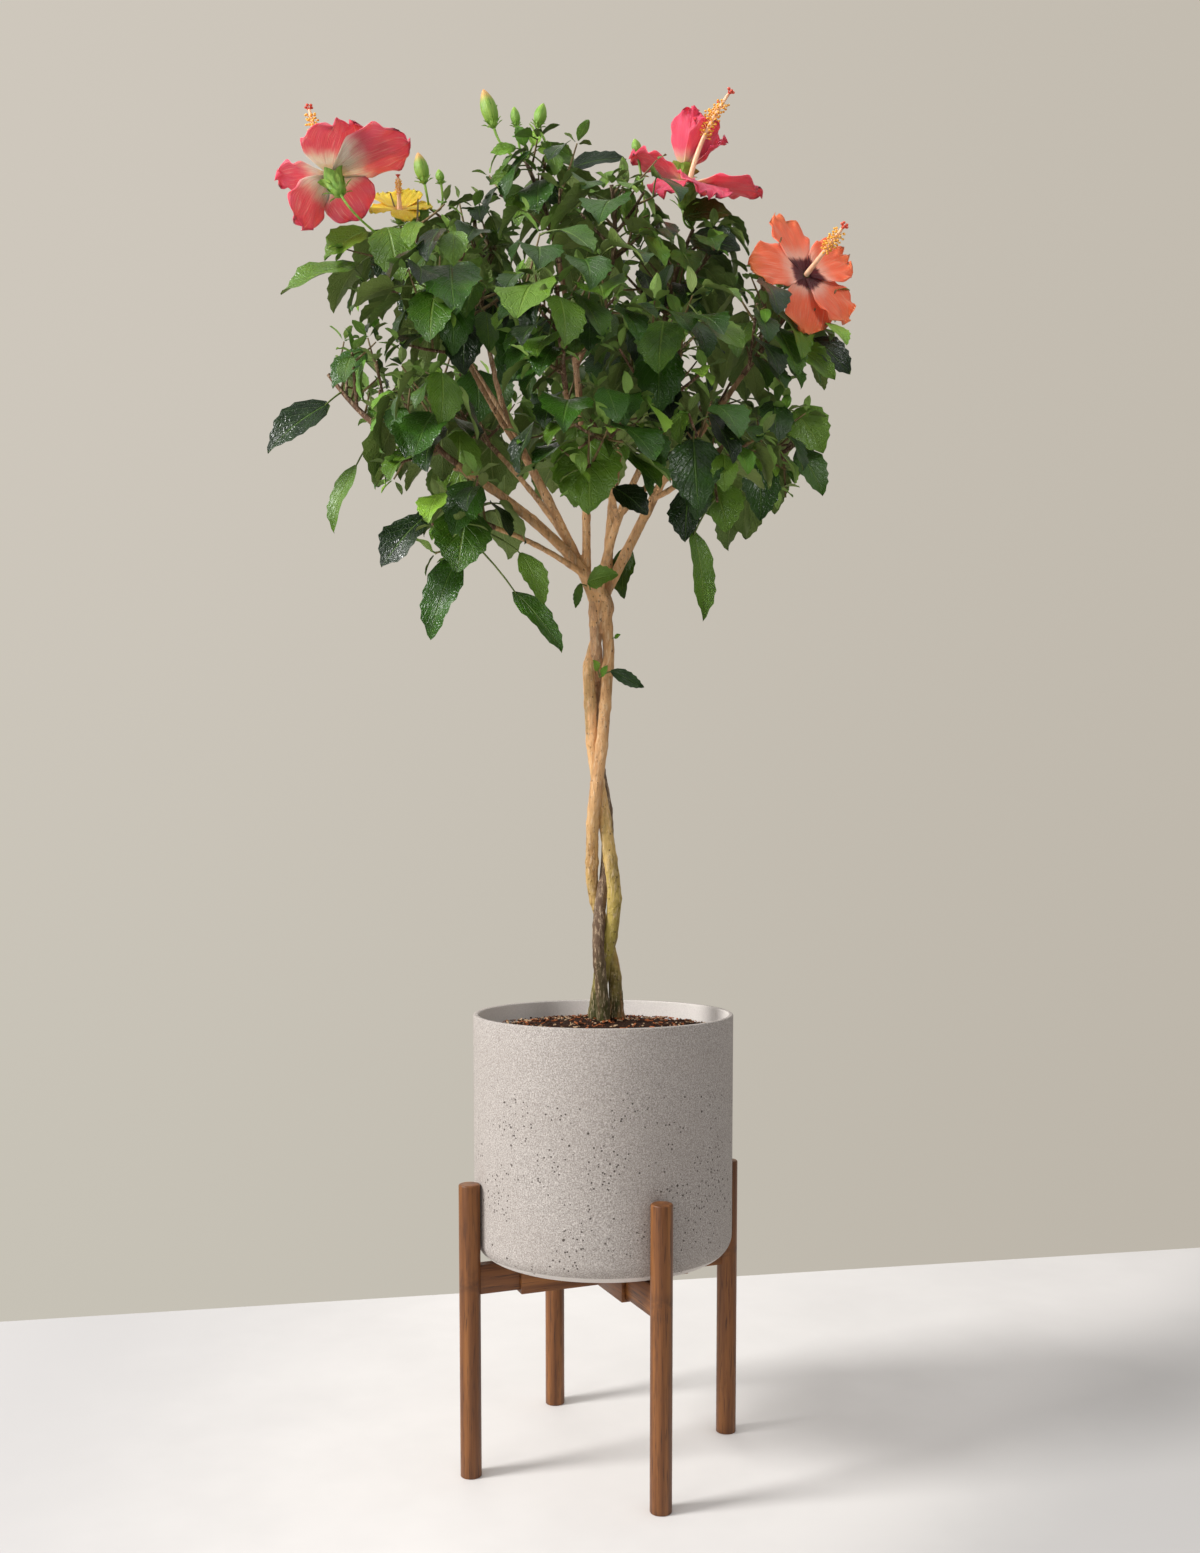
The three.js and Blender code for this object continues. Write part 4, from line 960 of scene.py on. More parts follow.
def bark_material(name, low_colour, high_colour, dark, low, high):
    """Bark that changes colour between two heights in millimetres, with a damp green foot."""
    material, shader, place, _ = start_material(name, 0.3)
    stretched = place.placed((1, 1, 0.16))
    wrinkles = stretched.noise(420.0, 4.0, 0.65)
    streaks = stretched.noise(110.0, 3.0, 0.6)
    blotches = place.noise(48.0, 3.0, 0.6)
    warts = 1 - place.cells(230.0).between(0.12, 0.30)
    rise = (place.part(2) + blotches * 0.06 - 0.03).between(low * MM, high * MM)
    colour = rise.blend(low_colour, high_colour)
    damp_height = place.part(2) + blotches * 0.08 - 0.04
    colour = damp_height.between(DAMP_FOOT * MM, DAMP_END * MM).blend((66, 66, 28), colour)
    colour = (streaks.between(0.44, 0.64) * 0.55).blend(colour, dark)
    colour = (wrinkles.between(0.50, 0.66) * 0.5).blend(colour, (226, 200, 164))
    colour = (warts * blotches.between(0.5, 0.7) * 0.5).blend(colour, (206, 182, 150))
    scars = (1 - place.placed((1, 1, 0.7)).cells(150.0).between(0.08, 0.15)) * 0.7
    colour = scars.blend(colour, (74, 52, 38))
    relief = (wrinkles * 1.2 + streaks * 0.8 + warts * 0.5 - scars).bump(0.0016, 1.0)
    feed(shader, Base_Color=colour, Normal=relief, Roughness=streaks * 0.2 + 0.55)
    return material


# Partly painted light: the brown stem's high colour and the pale tan are paler than the bark, to
# make up for the crown's shadow on the trunk's top and the boughs' foot.
TAN_BARK_WITH_PAINTED_LIGHT = (222, 172, 120)
BARK_FINISHES = {
    "brown": ((106, 84, 64), (212, 164, 120), (92, 66, 48), 760, 930),
    "olive": ((172, 154, 74), TAN_BARK_WITH_PAINTED_LIGHT, (116, 98, 46), 560, 830),
    "tan": ((178, 154, 82), (206, 160, 110), (150, 104, 62), 540, 760),
    "bough": (TAN_BARK_WITH_PAINTED_LIGHT, (150, 114, 86), (134, 96, 68), 1000, 1240),
    "twig": ((120, 88, 66), (98, 76, 54), (74, 54, 42), 1100, 1350),
}
bark_kinds = {kind: bark_material(f"{kind}_bark", *row) for kind, row in BARK_FINISHES.items()}
print("bark finishes", list(bark_kinds))


# %% Limbs with relief
STEM_SEED = 40
BOUGH_SEED = 60
STEM_SINK = 2
KNOT_SPACING = 43
KNOT_SWELL = 0.13
KNOT_SHARPNESS = 0.09
FURROW_SIZE = 6


def fine_limb(points, radii, seed, step=3.0):
    """A limb's line taken in short steps, with a swelling at every old leaf scar."""
    chance = random_stream(seed)
    length = sum((b - a).length for a, b in zip(points, points[1:]))
    count = max(int(length / step), 8)
    rows = [(*point, radius) for point, radius in zip(points, radii)]
    phase = chance()
    fine_points, fine_radii = [], []
    for i in range(count + 1):
        x, y, z, radius = smooth_place(rows, i / count)
        knot = (length * i / count / KNOT_SPACING + phase) % 1
        swell = 1 + KNOT_SWELL * math.exp(-((knot - 0.5) / KNOT_SHARPNESS) ** 2)
        fine_points.append(Vector((x, y, z)))
        fine_radii.append(radius * swell)
    return fine_points, fine_radii


def limb_piece(name, lines, voxel, wrinkle):
    """Several limbs as one skin with wrinkles along it."""
    curve = bpy.data.curves.new(name, "CURVE")
    curve.dimensions = "3D"
    curve.bevel_depth = MM
    curve.bevel_resolution = 6
    curve.use_fill_caps = True
    for points, radii in lines:
        spline = curve.splines.new("POLY")
        spline.points.add(len(points) - 1)
        for place, point, radius in zip(spline.points, points, radii):
            place.co = (*(point * MM), 1)
            place.radius = radius
    drawn = add_object(name, curve)
    pick(drawn)
    bpy.ops.object.convert(target="MESH")
    piece = bpy.context.object
    apply_modifier(piece, "REMESH", mode="VOXEL", voxel_size=voxel * MM)
    apply_modifier(piece, "SMOOTH", factor=0.5, iterations=4)
    furrows = bpy.data.textures.new(f"{name}_furrows", "CLOUDS")
    furrows.noise_scale = FURROW_SIZE * MM
    furrows.noise_depth = 2
    apply_modifier(piece, "DISPLACE", texture=furrows, strength=wrinkle * MM, mid_level=0.5)
    return piece


for order, stem_name in enumerate(STEM_PATHS):
    stem_points, stem_radii = limbs[stem_name]
    stem_line = fine_limb(stem_points, stem_radii, STEM_SEED + order)
    stem_line[0][0].z = SOIL_MOUND - STEM_SINK
    stem_piece = limb_piece(f"stem_{stem_name}_bark", [stem_line], voxel=1.25, wrinkle=1.0)
    slot_name = f"stem_{stem_name}"
    finish(stem_piece, [bark_kinds[stem_name]], slot_name, slot_name, smooth_angle=180)

bough_lines = []
for order, bough_name in enumerate(BOUGHS):
    bough_points, bough_radii = limbs[bough_name]
    parent = BOUGHS[bough_name].parent
    if BOUGHS[bough_name].at == 1:
        lead_points, lead_radii = limbs[parent]
        lead = 2 if parent in STEM_PATHS else 1
        bough_points = lead_points[-1 - lead:-1] + bough_points
        bough_radii = lead_radii[-1 - lead:-1] + bough_radii
    bough_lines.append(fine_limb(bough_points, bough_radii, BOUGH_SEED + order))
bough_piece = limb_piece("boughs_bark", bough_lines, voxel=1.5, wrinkle=0.7)
bough_nodes = [f"bough_{name}" for name in BOUGHS]
finish(bough_piece, [bark_kinds["bough"]], "bough_bark", *bough_nodes, smooth_angle=180)


# %% [markdown]
# Where the flowers are
#
# The leaves leave the view of flowers and buds free, so these come before them. They are the same
# as in the construction model: the left one is seen from behind and below with its calyx in
# front, a small yellow one stands next to it, the coral one lies open to the sky with a closed
# one above it, and the orange one looks at the viewer. Directions are written as they look from
# the front: right, away and up. A petal follows an arc that is tilted by its start angle at the
# throat and by its end angle at the rim, off a plane square to the flower's axis.

# %% Flower and bud tables
Petal = namedtuple("Petal", "towards length width start end")
Flower = namedtuple("Flower", "mass middle axis calyx column kind ruffle petals")
PINK, YELLOW, CORAL, ORANGE = range(4)
FLOWERS = {
    "pink_left": Flower(
        "upper_left", (-284, -34, 1377), (-0.42, 0.28, 0.86), (30, 8), (-307, -14, 1447),
        PINK, 4.2,
        [
            Petal((1, -0.3, -0.16), 86, 62, 4, -20),
            Petal((0.5, -1, 0.3), 56, 68, 8, 2),
            Petal((-1, 0.1, 0), 56, 40, 22, 34),
            Petal((-1, 0.4, -0.5), 60, 48, 0, -52),
            Petal((0.4, 0.9, -0.3), 54, 52, 0, -46),
        ],
    ),
    "yellow": Flower(
        "upper_left", (-217, 8, 1360), (0.05, -0.6, 0.8), (16, 5), (-216, -8, 1382),
        YELLOW, 0.9,
        [
            Petal((1, 0, 0.2), 32, 30, 16, -4),
            Petal((0.3, 0.6, 1), 36, 30, 30, 10),
            Petal((-0.7, 0.4, 1), 34, 30, 26, 4),
            Petal((-1, 0, -0.6), 30, 28, 12, -16),
            Petal((0.4, -0.5, -1), 30, 28, 10, -24),
        ],
    ),
    "coral_right": Flower(
        "top_right", (92, 0, 1386), (0.2, -0.1, 0.97), (30, 8), (130, -20, 1460),
        CORAL, 3.6,
        [
            Petal((-1, 0, 0.2), 66, 54, 20, 8),
            Petal((-0.5, -0.8, 0), 56, 44, -10, -60),
            Petal((0.4, -0.9, 0), 58, 54, 0, -50),
            Petal((1, 0, -0.3), 76, 56, 12, -4),
            Petal((0.1, 1, 0.1), 60, 54, 20, 4),
        ],
    ),
    "closed": Flower(
        "top_right", (88, 16, 1408), (0.24, -0.05, 0.97), (16, 9), (120, -2, 1456),
        CORAL, 4.2,
        [
            Petal((-1, -0.3, 0), 62, 32, 84, 94),
            Petal((-0.3, -1, 0), 58, 36, 74, 84),
            Petal((0.8, -0.7, 0), 54, 36, 64, 58),
            Petal((1, 0.4, 0), 56, 34, 56, 50),
            Petal((0, 1, 0), 56, 34, 74, 76),
        ],
    ),
    "orange": Flower(
        "right_flower", (213, -40, 1274), (0.46, -0.8, 0.39), (26, 7), (239, -86, 1297),
        ORANGE, 3.4,
        [
            Petal((-1, 0, -0.12), 64, 50, 8, -22),
            Petal((-0.3, 0, 1), 72, 42, 12, -10),
            Petal((1, 0, 0.7), 56, 46, 26, 4),
            Petal((1, 0, -0.9), 62, 50, 14, -14),
            Petal((-0.1, 0, -1), 64, 54, 4, -28),
        ],
    ),
}
Bud = namedtuple("Bud", "mass foot tip radius material")
GREEN, TINTED = 0, 1
BUDS = {
    "spire_tall": Bud("spire", (-116, -4, 1437), (-126, -6, 1472), 8.5, TINTED),
    "spire_middle": Bud("spire", (-92, -2, 1438), (-94, -3, 1456), 5, GREEN),
    "spire_right": Bud("spire", (-69, 0, 1439), (-63, 0, 1461), 6.5, GREEN),
    "left_top": Bud("top_left", (-190, 2, 1383), (-196, 0, 1411), 7.5, TINTED),
}
SMALL_BUDS = {
    "left_small": Bud("top_left", (-172, 0, 1381), (-174, -2, 1393), 4.5, GREEN),
    "behind_coral": Bud("top_right", (36, 4, 1412), (33, 4, 1427), 5, GREEN),
    "under_coral": Bud("top_right", (22, -30, 1337), (25, -30, 1358), 6, GREEN),
}

PETAL_ROWS = 22
THROAT = 3.5
THROAT_DEPTH = 0.1
FRONT_PLACE = Vector((0, -1540, 674))
OPEN_SPACE = 220
VIEWED_ROWS = range(4, PETAL_ROWS + 1, 3)
VIEWED_SHARES = (-0.45, -0.22, 0, 0.22, 0.45)


def view_of(place):
    """A line from a place towards the front."""
    return place, place + (FRONT_PLACE - place).normalized() * OPEN_SPACE


def ends_of(lines):
    """All starts and all ends, as rows of numbers."""
    return tuple(np.array([tuple(line[end]) for line in lines]) for end in (0, 1))


def petal_curve(flower, petal):
    """The axis, the way a petal points, and its steps out from and up along the axis."""
    axis = Vector(flower.axis).normalized()
    towards = Vector(petal.towards)
    out = (towards - axis * towards.dot(axis)).normalized()
    step = petal.length / PETAL_ROWS
    rows = [(THROAT, -THROAT_DEPTH * petal.length, math.radians(petal.start))]
    for row in range(1, PETAL_ROWS + 1):
        distance, height, _ = rows[-1]
        tilt = math.radians(petal.start + (petal.end - petal.start) * row / PETAL_ROWS)
        rows.append((distance + math.cos(tilt) * step, height + math.sin(tilt) * step, tilt))
    return axis, out, rows


def lines_kept_open():
    """Through every petal, column and bud, and from them to the front."""
    lines = []
    for flower in FLOWERS.values():
        middle = Vector(flower.middle)
        lines.extend([(middle, Vector(flower.column)), view_of(middle)])
        for petal in flower.petals:
            axis, out, rows = petal_curve(flower, petal)
            half, tip = (
                middle + out * distance + axis * height
                for distance, height, _ in (rows[PETAL_ROWS // 2], rows[PETAL_ROWS])
            )
            lines.extend([(middle, half), (half, tip), view_of(half), view_of(tip)])
    for bud in BUDS.values():
        foot, tip = Vector(bud.foot), Vector(bud.tip)
        lines.extend([(foot, tip), view_of(foot.lerp(tip, 0.5))])
    return ends_of(lines)


def lines_before_petals():
    """From places all over every petal to the front, for the finer growth."""
    lines = []
    for flower in FLOWERS.values():
        for petal in flower.petals:
            axis, out, rows = petal_curve(flower, petal)
            across = axis.cross(out)
            for row in VIEWED_ROWS:
                distance, height, _ = rows[row]
                for share in VIEWED_SHARES:
                    place = Vector(flower.middle) + out * distance + axis * height
                    lines.append(view_of(place + across * share * petal.width))
    return ends_of(lines)


open_lines = lines_kept_open()
petal_views = lines_before_petals()
print("lines kept open", len(open_lines[0]), "and for finer growth", len(petal_views[0]))


# %% [markdown]
# How the crown grows
#
# Each foliage mass has one leading twig that carries on from its bough, side twigs turned a
# third of a circle from one to the next, and a leaf at every node. A leaf that would leave the
# mass's own space, stick out of the crown or cut through something is turned on round its twig
# and made a little smaller until it fits, or is left out. First come the masses, each named after
# its bough, with the sizes of the construction model.

# %% Foliage masses
Mass = namedtuple("Mass", "crest twigs spread seed")
MASSES = {
    "far_left": Mass((-292, -8, 1180), 5, 68, 11),
    "left_front": Mass((-205, -104, 1112), 4, 58, 12),
    "left_low": Mass((-168, -92, 1030), 4, 50, 13),
    "upper_left": Mass((-228, -4, 1318), 5, 70, 14),
    "top_left": Mass((-140, 34, 1370), 5, 68, 15),
    "mid_left": Mass((-172, -120, 1240), 5, 64, 16),
    "spire": Mass((-82, 0, 1402), 4, 52, 17),
    "top_centre": Mass((8, -66, 1348), 4, 62, 18),
    "top_right": Mass((96, 12, 1338), 5, 68, 19),
    "right_front": Mass((76, -98, 1208), 5, 68, 20),
    "right_flower": Mass((194, -18, 1238), 5, 64, 21),
    "far_right": Mass((216, 6, 1118), 5, 64, 22),
    "right_low": Mass((124, -124, 1062), 4, 58, 23),
    "centre_front": Mass((-44, -176, 1206), 5, 68, 24),
    "centre_low": Mass((-12, -164, 1086), 4, 56, 25),
    "back_left": Mass((-186, 164, 1198), 5, 78, 26),
    "back_centre": Mass((-48, 216, 1234), 5, 78, 27),
    "back_right": Mass((146, 184, 1204), 5, 78, 28),
    "back_top": Mass((36, 118, 1290), 5, 74, 29),
}
LEAF_LENGTH = 84
LEAF_ASPECT = 0.66
SMALL_LEAF_HEIGHT = 1330
SMALL_LEAF_RISE = 80
SMALL_LEAF_LOSS = 0.45
BLADE_RISE = 0.15
BLADE_FALL = 0.186
BLADE_FOLD = 0.12
WIDEST_PLACE = 0.38
END_ROOM = 0.06
SIDE_ROOM = 0.12
PETIOLE_LENGTH = 30
PETIOLE_RADIUS = 0.9
LEADER_SWELL = 1.15
LEADER_TIP = 2.6
LEADER_HEADWAY = 0.4
TWIG_FOOT = 1.9
TWIG_TIP = 1.6
NODE_SPACING = 16
NODE_TURN = 120
FIRST_TURN = 60
TURN_CHANCE = 30
SIDE_TWIG_START = 0.12
SIDE_TWIG_SPAN = 0.76
SIDE_TWIG_STRAY = 0.3
SIDE_TWIG_FORWARD = 0.55
SIDE_TWIG_RISE = 0.15
SIDE_TWIG_REACH = (1.15, 0.45)
SIDE_TWIG_LENGTHS = (0.85, 0.3)
SIDE_TWIG_SAG = 0.06
SIDE_TWIG_ROOM = 4
TIP_ROOM = 1.1
SIDE_TWIG_TRIES = 4
SIDE_TWIG_SHRINK = 0.72
LEAF_SIZES = (0.72, 0.4)
LEAF_DROOP = (18, 46)
LEAF_ROLL = 36
END_LEAF_SHARE = 0.62
FIRST_LEAF_PLACES = (0.2, 0.3)
LEAF_TRIES = 14
LEAF_SHRINK = 0.035
FALL_STEP = 9
FALL_STEPS = 4
LAST_LEAF_PLACE = 0.96
STALK_FORWARD = 0.4
STALK_OUTWARD = 0.25
BLADE_OUTWARD = 0.6
STALK_SAG = 0.12
CREST_SHARE = 0.55
MASS_DROP = 30
BEAD_STEP = 5
CELL_MARGIN = 1.2
LIMB_MARGIN = 1.4
CROWN_MIDDLE = Vector((-35, 0, 1198))
CROWN_DEPTH = 300
CROWN_REACH = [
    296, 296, 262, 262, 244, 255, 262, 270, 290, 262, 224, 270, 280, 215, 205, 265, 270, 285,
]
# Single leaves that stand out from the crown: root, tip, width, and how far each is turned from
# level (0) to facing the front (1).
LONE_LEAVES = [
    # Far left.
    ((-290, -20, 1146), (-355, -34, 1097), 40, 0.6),
    ((-262, -14, 1084), (-292, -26, 1016), 28, 0.3),
    ((-250, -20, 1200), (-286, -30, 1162), 34, 0.5),
    # Upper left.
    ((-262, -8, 1292), (-342, -14, 1266), 42, 0.35),
    ((-250, -8, 1328), (-294, -18, 1296), 42, 0.5),
    ((-222, -48, 1314), (-208, -62, 1258), 48, 0.9),
    # Lower left.
    ((-182, -76, 1016), (-226, -94, 966), 44, 0.5),
    ((-150, -60, 980), (-182, -76, 896), 40, 0.6),
    ((-140, -84, 1020), (-146, -110, 956), 58, 0.95),
    ((-130, -96, 1046), (-150, -124, 990), 40, 0.6),
    ((-84, -94, 976), (-58, -100, 926), 28, 0.5),
    ((-92, -80, 940), (-40, -96, 880), 28, 0.5),
    # Top.
    ((-60, -20, 1400), (-30, -30, 1384), 24, 0.4),
    ((-36, 8, 1398), (24, 12, 1414), 26, 0.5),
    ((92, -10, 1318), (142, -28, 1302), 36, 0.6),
    ((84, -6, 1342), (138, -2, 1352), 38, 0.5),
    # Right.
    ((221, -10, 1216), (262, -16, 1181), 34, 0.5),
    ((198, -20, 1206), (244, -30, 1172), 32, 0.5),
    ((203, -8, 1143), (234, -18, 1099), 44, 0.8),
    ((208, 0, 1104), (236, -12, 1056), 34, 0.6),
    ((164, -16, 1088), (168, -22, 1026), 40, 0.6),
    ((152, -24, 1228), (136, -44, 1190), 32, 0.6),
    # Front.
    ((-3, -110, 1219), (-44, -126, 1162), 56, 0.9),
    ((-57, -104, 1201), (-102, -118, 1136), 54, 0.9),
    # Lower right and middle.
    ((90, -92, 998), (106, -98, 910), 30, 0.4),
    ((112, -80, 1050), (126, -94, 1000), 46, 0.6),
    ((88, -122, 1080), (92, -146, 1008), 52, 0.9),
    ((-14, -130, 1078), (-14, -158, 1004), 62, 0.9),
    ((10, -118, 1034), (44, -126, 1008), 34, 0.6),
]
mass_middles = {
    name: Vector(BOUGHS[name].tip).lerp(Vector(mass.crest), CREST_SHARE)
    for name, mass in MASSES.items()
}
print("masses", len(MASSES), "and single leaves", len(LONE_LEAVES))


# %% Where a twig or leaf may be
def limb_beads():
    """Every limb as close round places with a radius."""
    places, radii = [], []
    for points, limb_radii in limbs.values():
        for i in range(len(points) - 1):
            steps = math.ceil((points[i + 1] - points[i]).length / BEAD_STEP)
            for k in range(steps):
                places.append(points[i].lerp(points[i + 1], k / steps))
                radii.append(limb_radii[i] + (limb_radii[i + 1] - limb_radii[i]) * k / steps)
    return np.array([tuple(place) for place in places]), np.array(radii)


bead_places, bead_radii = limb_beads()
print("limb beads", len(bead_radii))


def nearest_mass(place):
    return min(MASSES, key=lambda name: (mass_middles[name] - place).length)


def inside_mass(name, place, margin):
    own = mass_middles[name]
    for other, middle in mass_middles.items():
        if other != name:
            apart = middle - own
            if (place - own.lerp(middle, 0.5)).dot(apart) / apart.length >= -margin:
                return False
    return True


def crown_share(place):
    """How far out a place lies, as a share of the crown's reach in its direction."""
    x = place.x - CROWN_MIDDLE.x
    z = place.z - CROWN_MIDDLE.z
    turn = ((math.atan2(z, x) / (2 * math.pi) + 1) % 1) * len(CROWN_REACH)
    i = int(turn) % len(CROWN_REACH)
    following = (i + 1) % len(CROWN_REACH)
    reach = CROWN_REACH[i] + (CROWN_REACH[following] - CROWN_REACH[i]) * (turn - int(turn))
    return (place.y / CROWN_DEPTH) ** 2 + (x * x + z * z) / (reach * reach)


def line_touches_limb(start, end, radius):
    foot = np.array(tuple(start))
    run = np.array(tuple(end - start))
    shares = np.clip((bead_places - foot) @ run / (run @ run), 0, 1)
    apart = np.linalg.norm(bead_places - foot - shares[:, None] * run, axis=1)
    return bool((apart < bead_radii + radius + LIMB_MARGIN).any())


# %% One leaf's place
class Leaf:
    """A leaf: the foot of its stalk, the blade's root, its directions, length and width."""

    def __init__(self, foot, root, tip, width, roll):
        self.foot = foot
        self.root = root
        self.heading = (tip - root).normalized()
        level = Vector((0, 0, 1)).cross(self.heading)
        if abs(self.heading.z) > 0.995:
            level = Vector((1, 0, 0))
        flat = level.normalized()
        upward = self.heading.cross(flat)
        self.side = flat * math.cos(roll) + upward * math.sin(roll)
        self.face = self.heading.cross(self.side)
        self.size = (tip - root).length
        self.width = width
        self.middle = self.at(0.4, 0)
        self.reach = self.size * 0.75 + PETIOLE_LENGTH * 0.5
        self.lines = [
            (self.foot, self.root),
            (self.root, self.at(1, 0)),
            (self.at(WIDEST_PLACE, -1), self.at(WIDEST_PLACE, 1)),
        ]

    def lift(self, u, v):
        """How far the blade stands off its flat: it arches lengthwise and folds a little."""
        arch = (BLADE_RISE * u - BLADE_FALL * u * u) * self.size
        return arch + abs(v) * self.width * BLADE_FOLD

    def at(self, u, v):
        along = self.heading * (u * self.size)
        across = self.side * (v * self.width / 2)
        return self.root + along + across + self.face * self.lift(u, v)

    def cut_by(self, start, end):
        """Whether a straight line cuts through the blade."""
        before = (start - self.root).dot(self.face)
        after = (end - self.root).dot(self.face)
        if before * after > 0:
            return False
        place = start.lerp(end, before / (before - after)) - self.root
        u = place.dot(self.heading) / self.size
        v = 2 * place.dot(self.side) / self.width
        return -END_ROOM < u < 1 + END_ROOM and abs(v) < 1 + SIDE_ROOM

    def cut_by_any(self, starts, ends):
        """The same for rows of starts and ends."""
        root, heading, side, face = (
            np.array(tuple(d)) for d in (self.root, self.heading, self.side, self.face)
        )
        before = (starts - root) @ face
        after = (ends - root) @ face
        through = before * after <= 0
        share = before / np.where(through, before - after, 1)
        places = starts + (ends - starts) * share[:, None] - root
        u = places @ heading / self.size
        v = 2 * (places @ side) / self.width
        on_blade = (u > -END_ROOM) & (u < 1 + END_ROOM) & (np.abs(v) < 1 + SIDE_ROOM)
        return bool((through & on_blade).any())

    def crosses(self, other):
        if (self.middle - other.middle).length > self.reach + other.reach:
            return False
        return any(other.cut_by(*line) for line in self.lines) or any(
            self.cut_by(*line) for line in other.lines
        )

    def touches_limb(self):
        away = bead_places - np.array(tuple(self.root))
        u = away @ np.array(tuple(self.heading)) / self.size
        v = 2 * (away @ np.array(tuple(self.side))) / self.width
        reach = bead_radii + LIMB_MARGIN
        near = (u >= -reach / self.size) & (u <= 1 + reach / self.size)
        near &= np.abs(v) <= 1 + 2 * reach / self.width
        gap = np.abs(away @ np.array(tuple(self.face)) - self.lift(u, v))
        if (near & (gap < reach)).any():
            return True
        return line_touches_limb(self.foot, self.root, PETIOLE_RADIUS)


def roll_to_front(root, tip, share):
    """The roll that turns a leaf's upper side towards the front by a share of the full turn."""
    level = Leaf(root, root, tip, 1, 0)
    front = (FRONT_PLACE - root).normalized()
    return share * math.atan2(-level.side.dot(front), level.face.dot(front))


LEAF_CORNERS = [(WIDEST_PLACE, 1.06), (1, 0), (WIDEST_PLACE, -1.06)]


def leaf_fits(name, leaf, twigs, others, alone):
    places = [leaf.root, *(leaf.at(u, v) for u, v in LEAF_CORNERS)]
    for place in places:
        if not inside_mass(name, place, CELL_MARGIN):
            return False
        if not alone and crown_share(place) >= 1:
            return False
    if leaf.touches_limb() or leaf.cut_by_any(*open_lines):
        return False
    for twig in twigs:
        if any(leaf.cut_by(a, b) for a, b in zip(twig.points, twig.points[1:])):
            return False
    return not any(leaf.crosses(other) for other in others)


# %% Twigs
class Twig:
    """A bowed, tapering twig."""

    def __init__(self, start, control, end, foot_radius, tip_radius, steps):
        self.ends = (start, control, end)
        self.points = bowed_line(start, control, end, steps)
        self.radii = even_steps(foot_radius, tip_radius, steps)
        self.frames = frame_line(self.points)
        self.length = sum((b - a).length for a, b in zip(self.points, self.points[1:]))

    def place(self, share):
        """The place, heading and frame at a share of the twig's length."""
        position = share * (len(self.points) - 1)
        i = min(int(position), len(self.points) - 2)
        heading = (self.points[i + 1] - self.points[i]).normalized()
        place = self.points[i].lerp(self.points[i + 1], position - i)
        return place, heading, self.frames[i]


def spoke(own_frame, angle):
    side, other = own_frame
    return side * math.cos(angle) + other * math.sin(angle)


def nearest_on_twigs(twigs, place):
    shares = [i / 20 for i in range(3, 21)]
    candidates = [twig.place(share)[0] for twig in twigs for share in shares]
    return min(candidates, key=lambda candidate: (candidate - place).length)


def top_share(height):
    """The size of leaves at a height against those lower down."""
    rise = (height - SMALL_LEAF_HEIGHT) / SMALL_LEAF_RISE
    return 1 - SMALL_LEAF_LOSS * min(max(rise, 0), 1)


def place_leaf(name, twigs, others, node, turn, size, droop, roll, attempts=LEAF_TRIES):
    """Tries a leaf at a node, turning and shrinking it until it fits its space."""
    foot, heading, own_frame = node
    middle = mass_middles[name] - Vector((0, 0, MASS_DROP))
    outward = (foot - middle.lerp(CROWN_MIDDLE, 0.5)).normalized()
    for attempt in range(attempts):
        around = math.radians(turn + attempt * NODE_TURN)
        shrink = size * top_share(foot.z) * (1 - LEAF_SHRINK * attempt)
        radial = spoke(own_frame, around)
        stalk = (heading * STALK_FORWARD + radial + outward * STALK_OUTWARD).normalized()
        sag = Vector((0, 0, PETIOLE_LENGTH * STALK_SAG))
        root = foot + stalk * (PETIOLE_LENGTH * shrink) - sag
        swing = stalk + outward * BLADE_OUTWARD
        flat = Vector((swing.x + 1e-4, swing.y, 0)).normalized()
        fall = droop + math.radians(FALL_STEP * (attempt % FALL_STEPS))
        blade = flat * math.cos(fall) - Vector((0, 0, math.sin(fall)))
        span = LEAF_LENGTH * shrink
        leaf = Leaf(foot, root, root + blade * span, span * LEAF_ASPECT, roll)
        if leaf_fits(name, leaf, twigs, others, False):
            return leaf
    return None


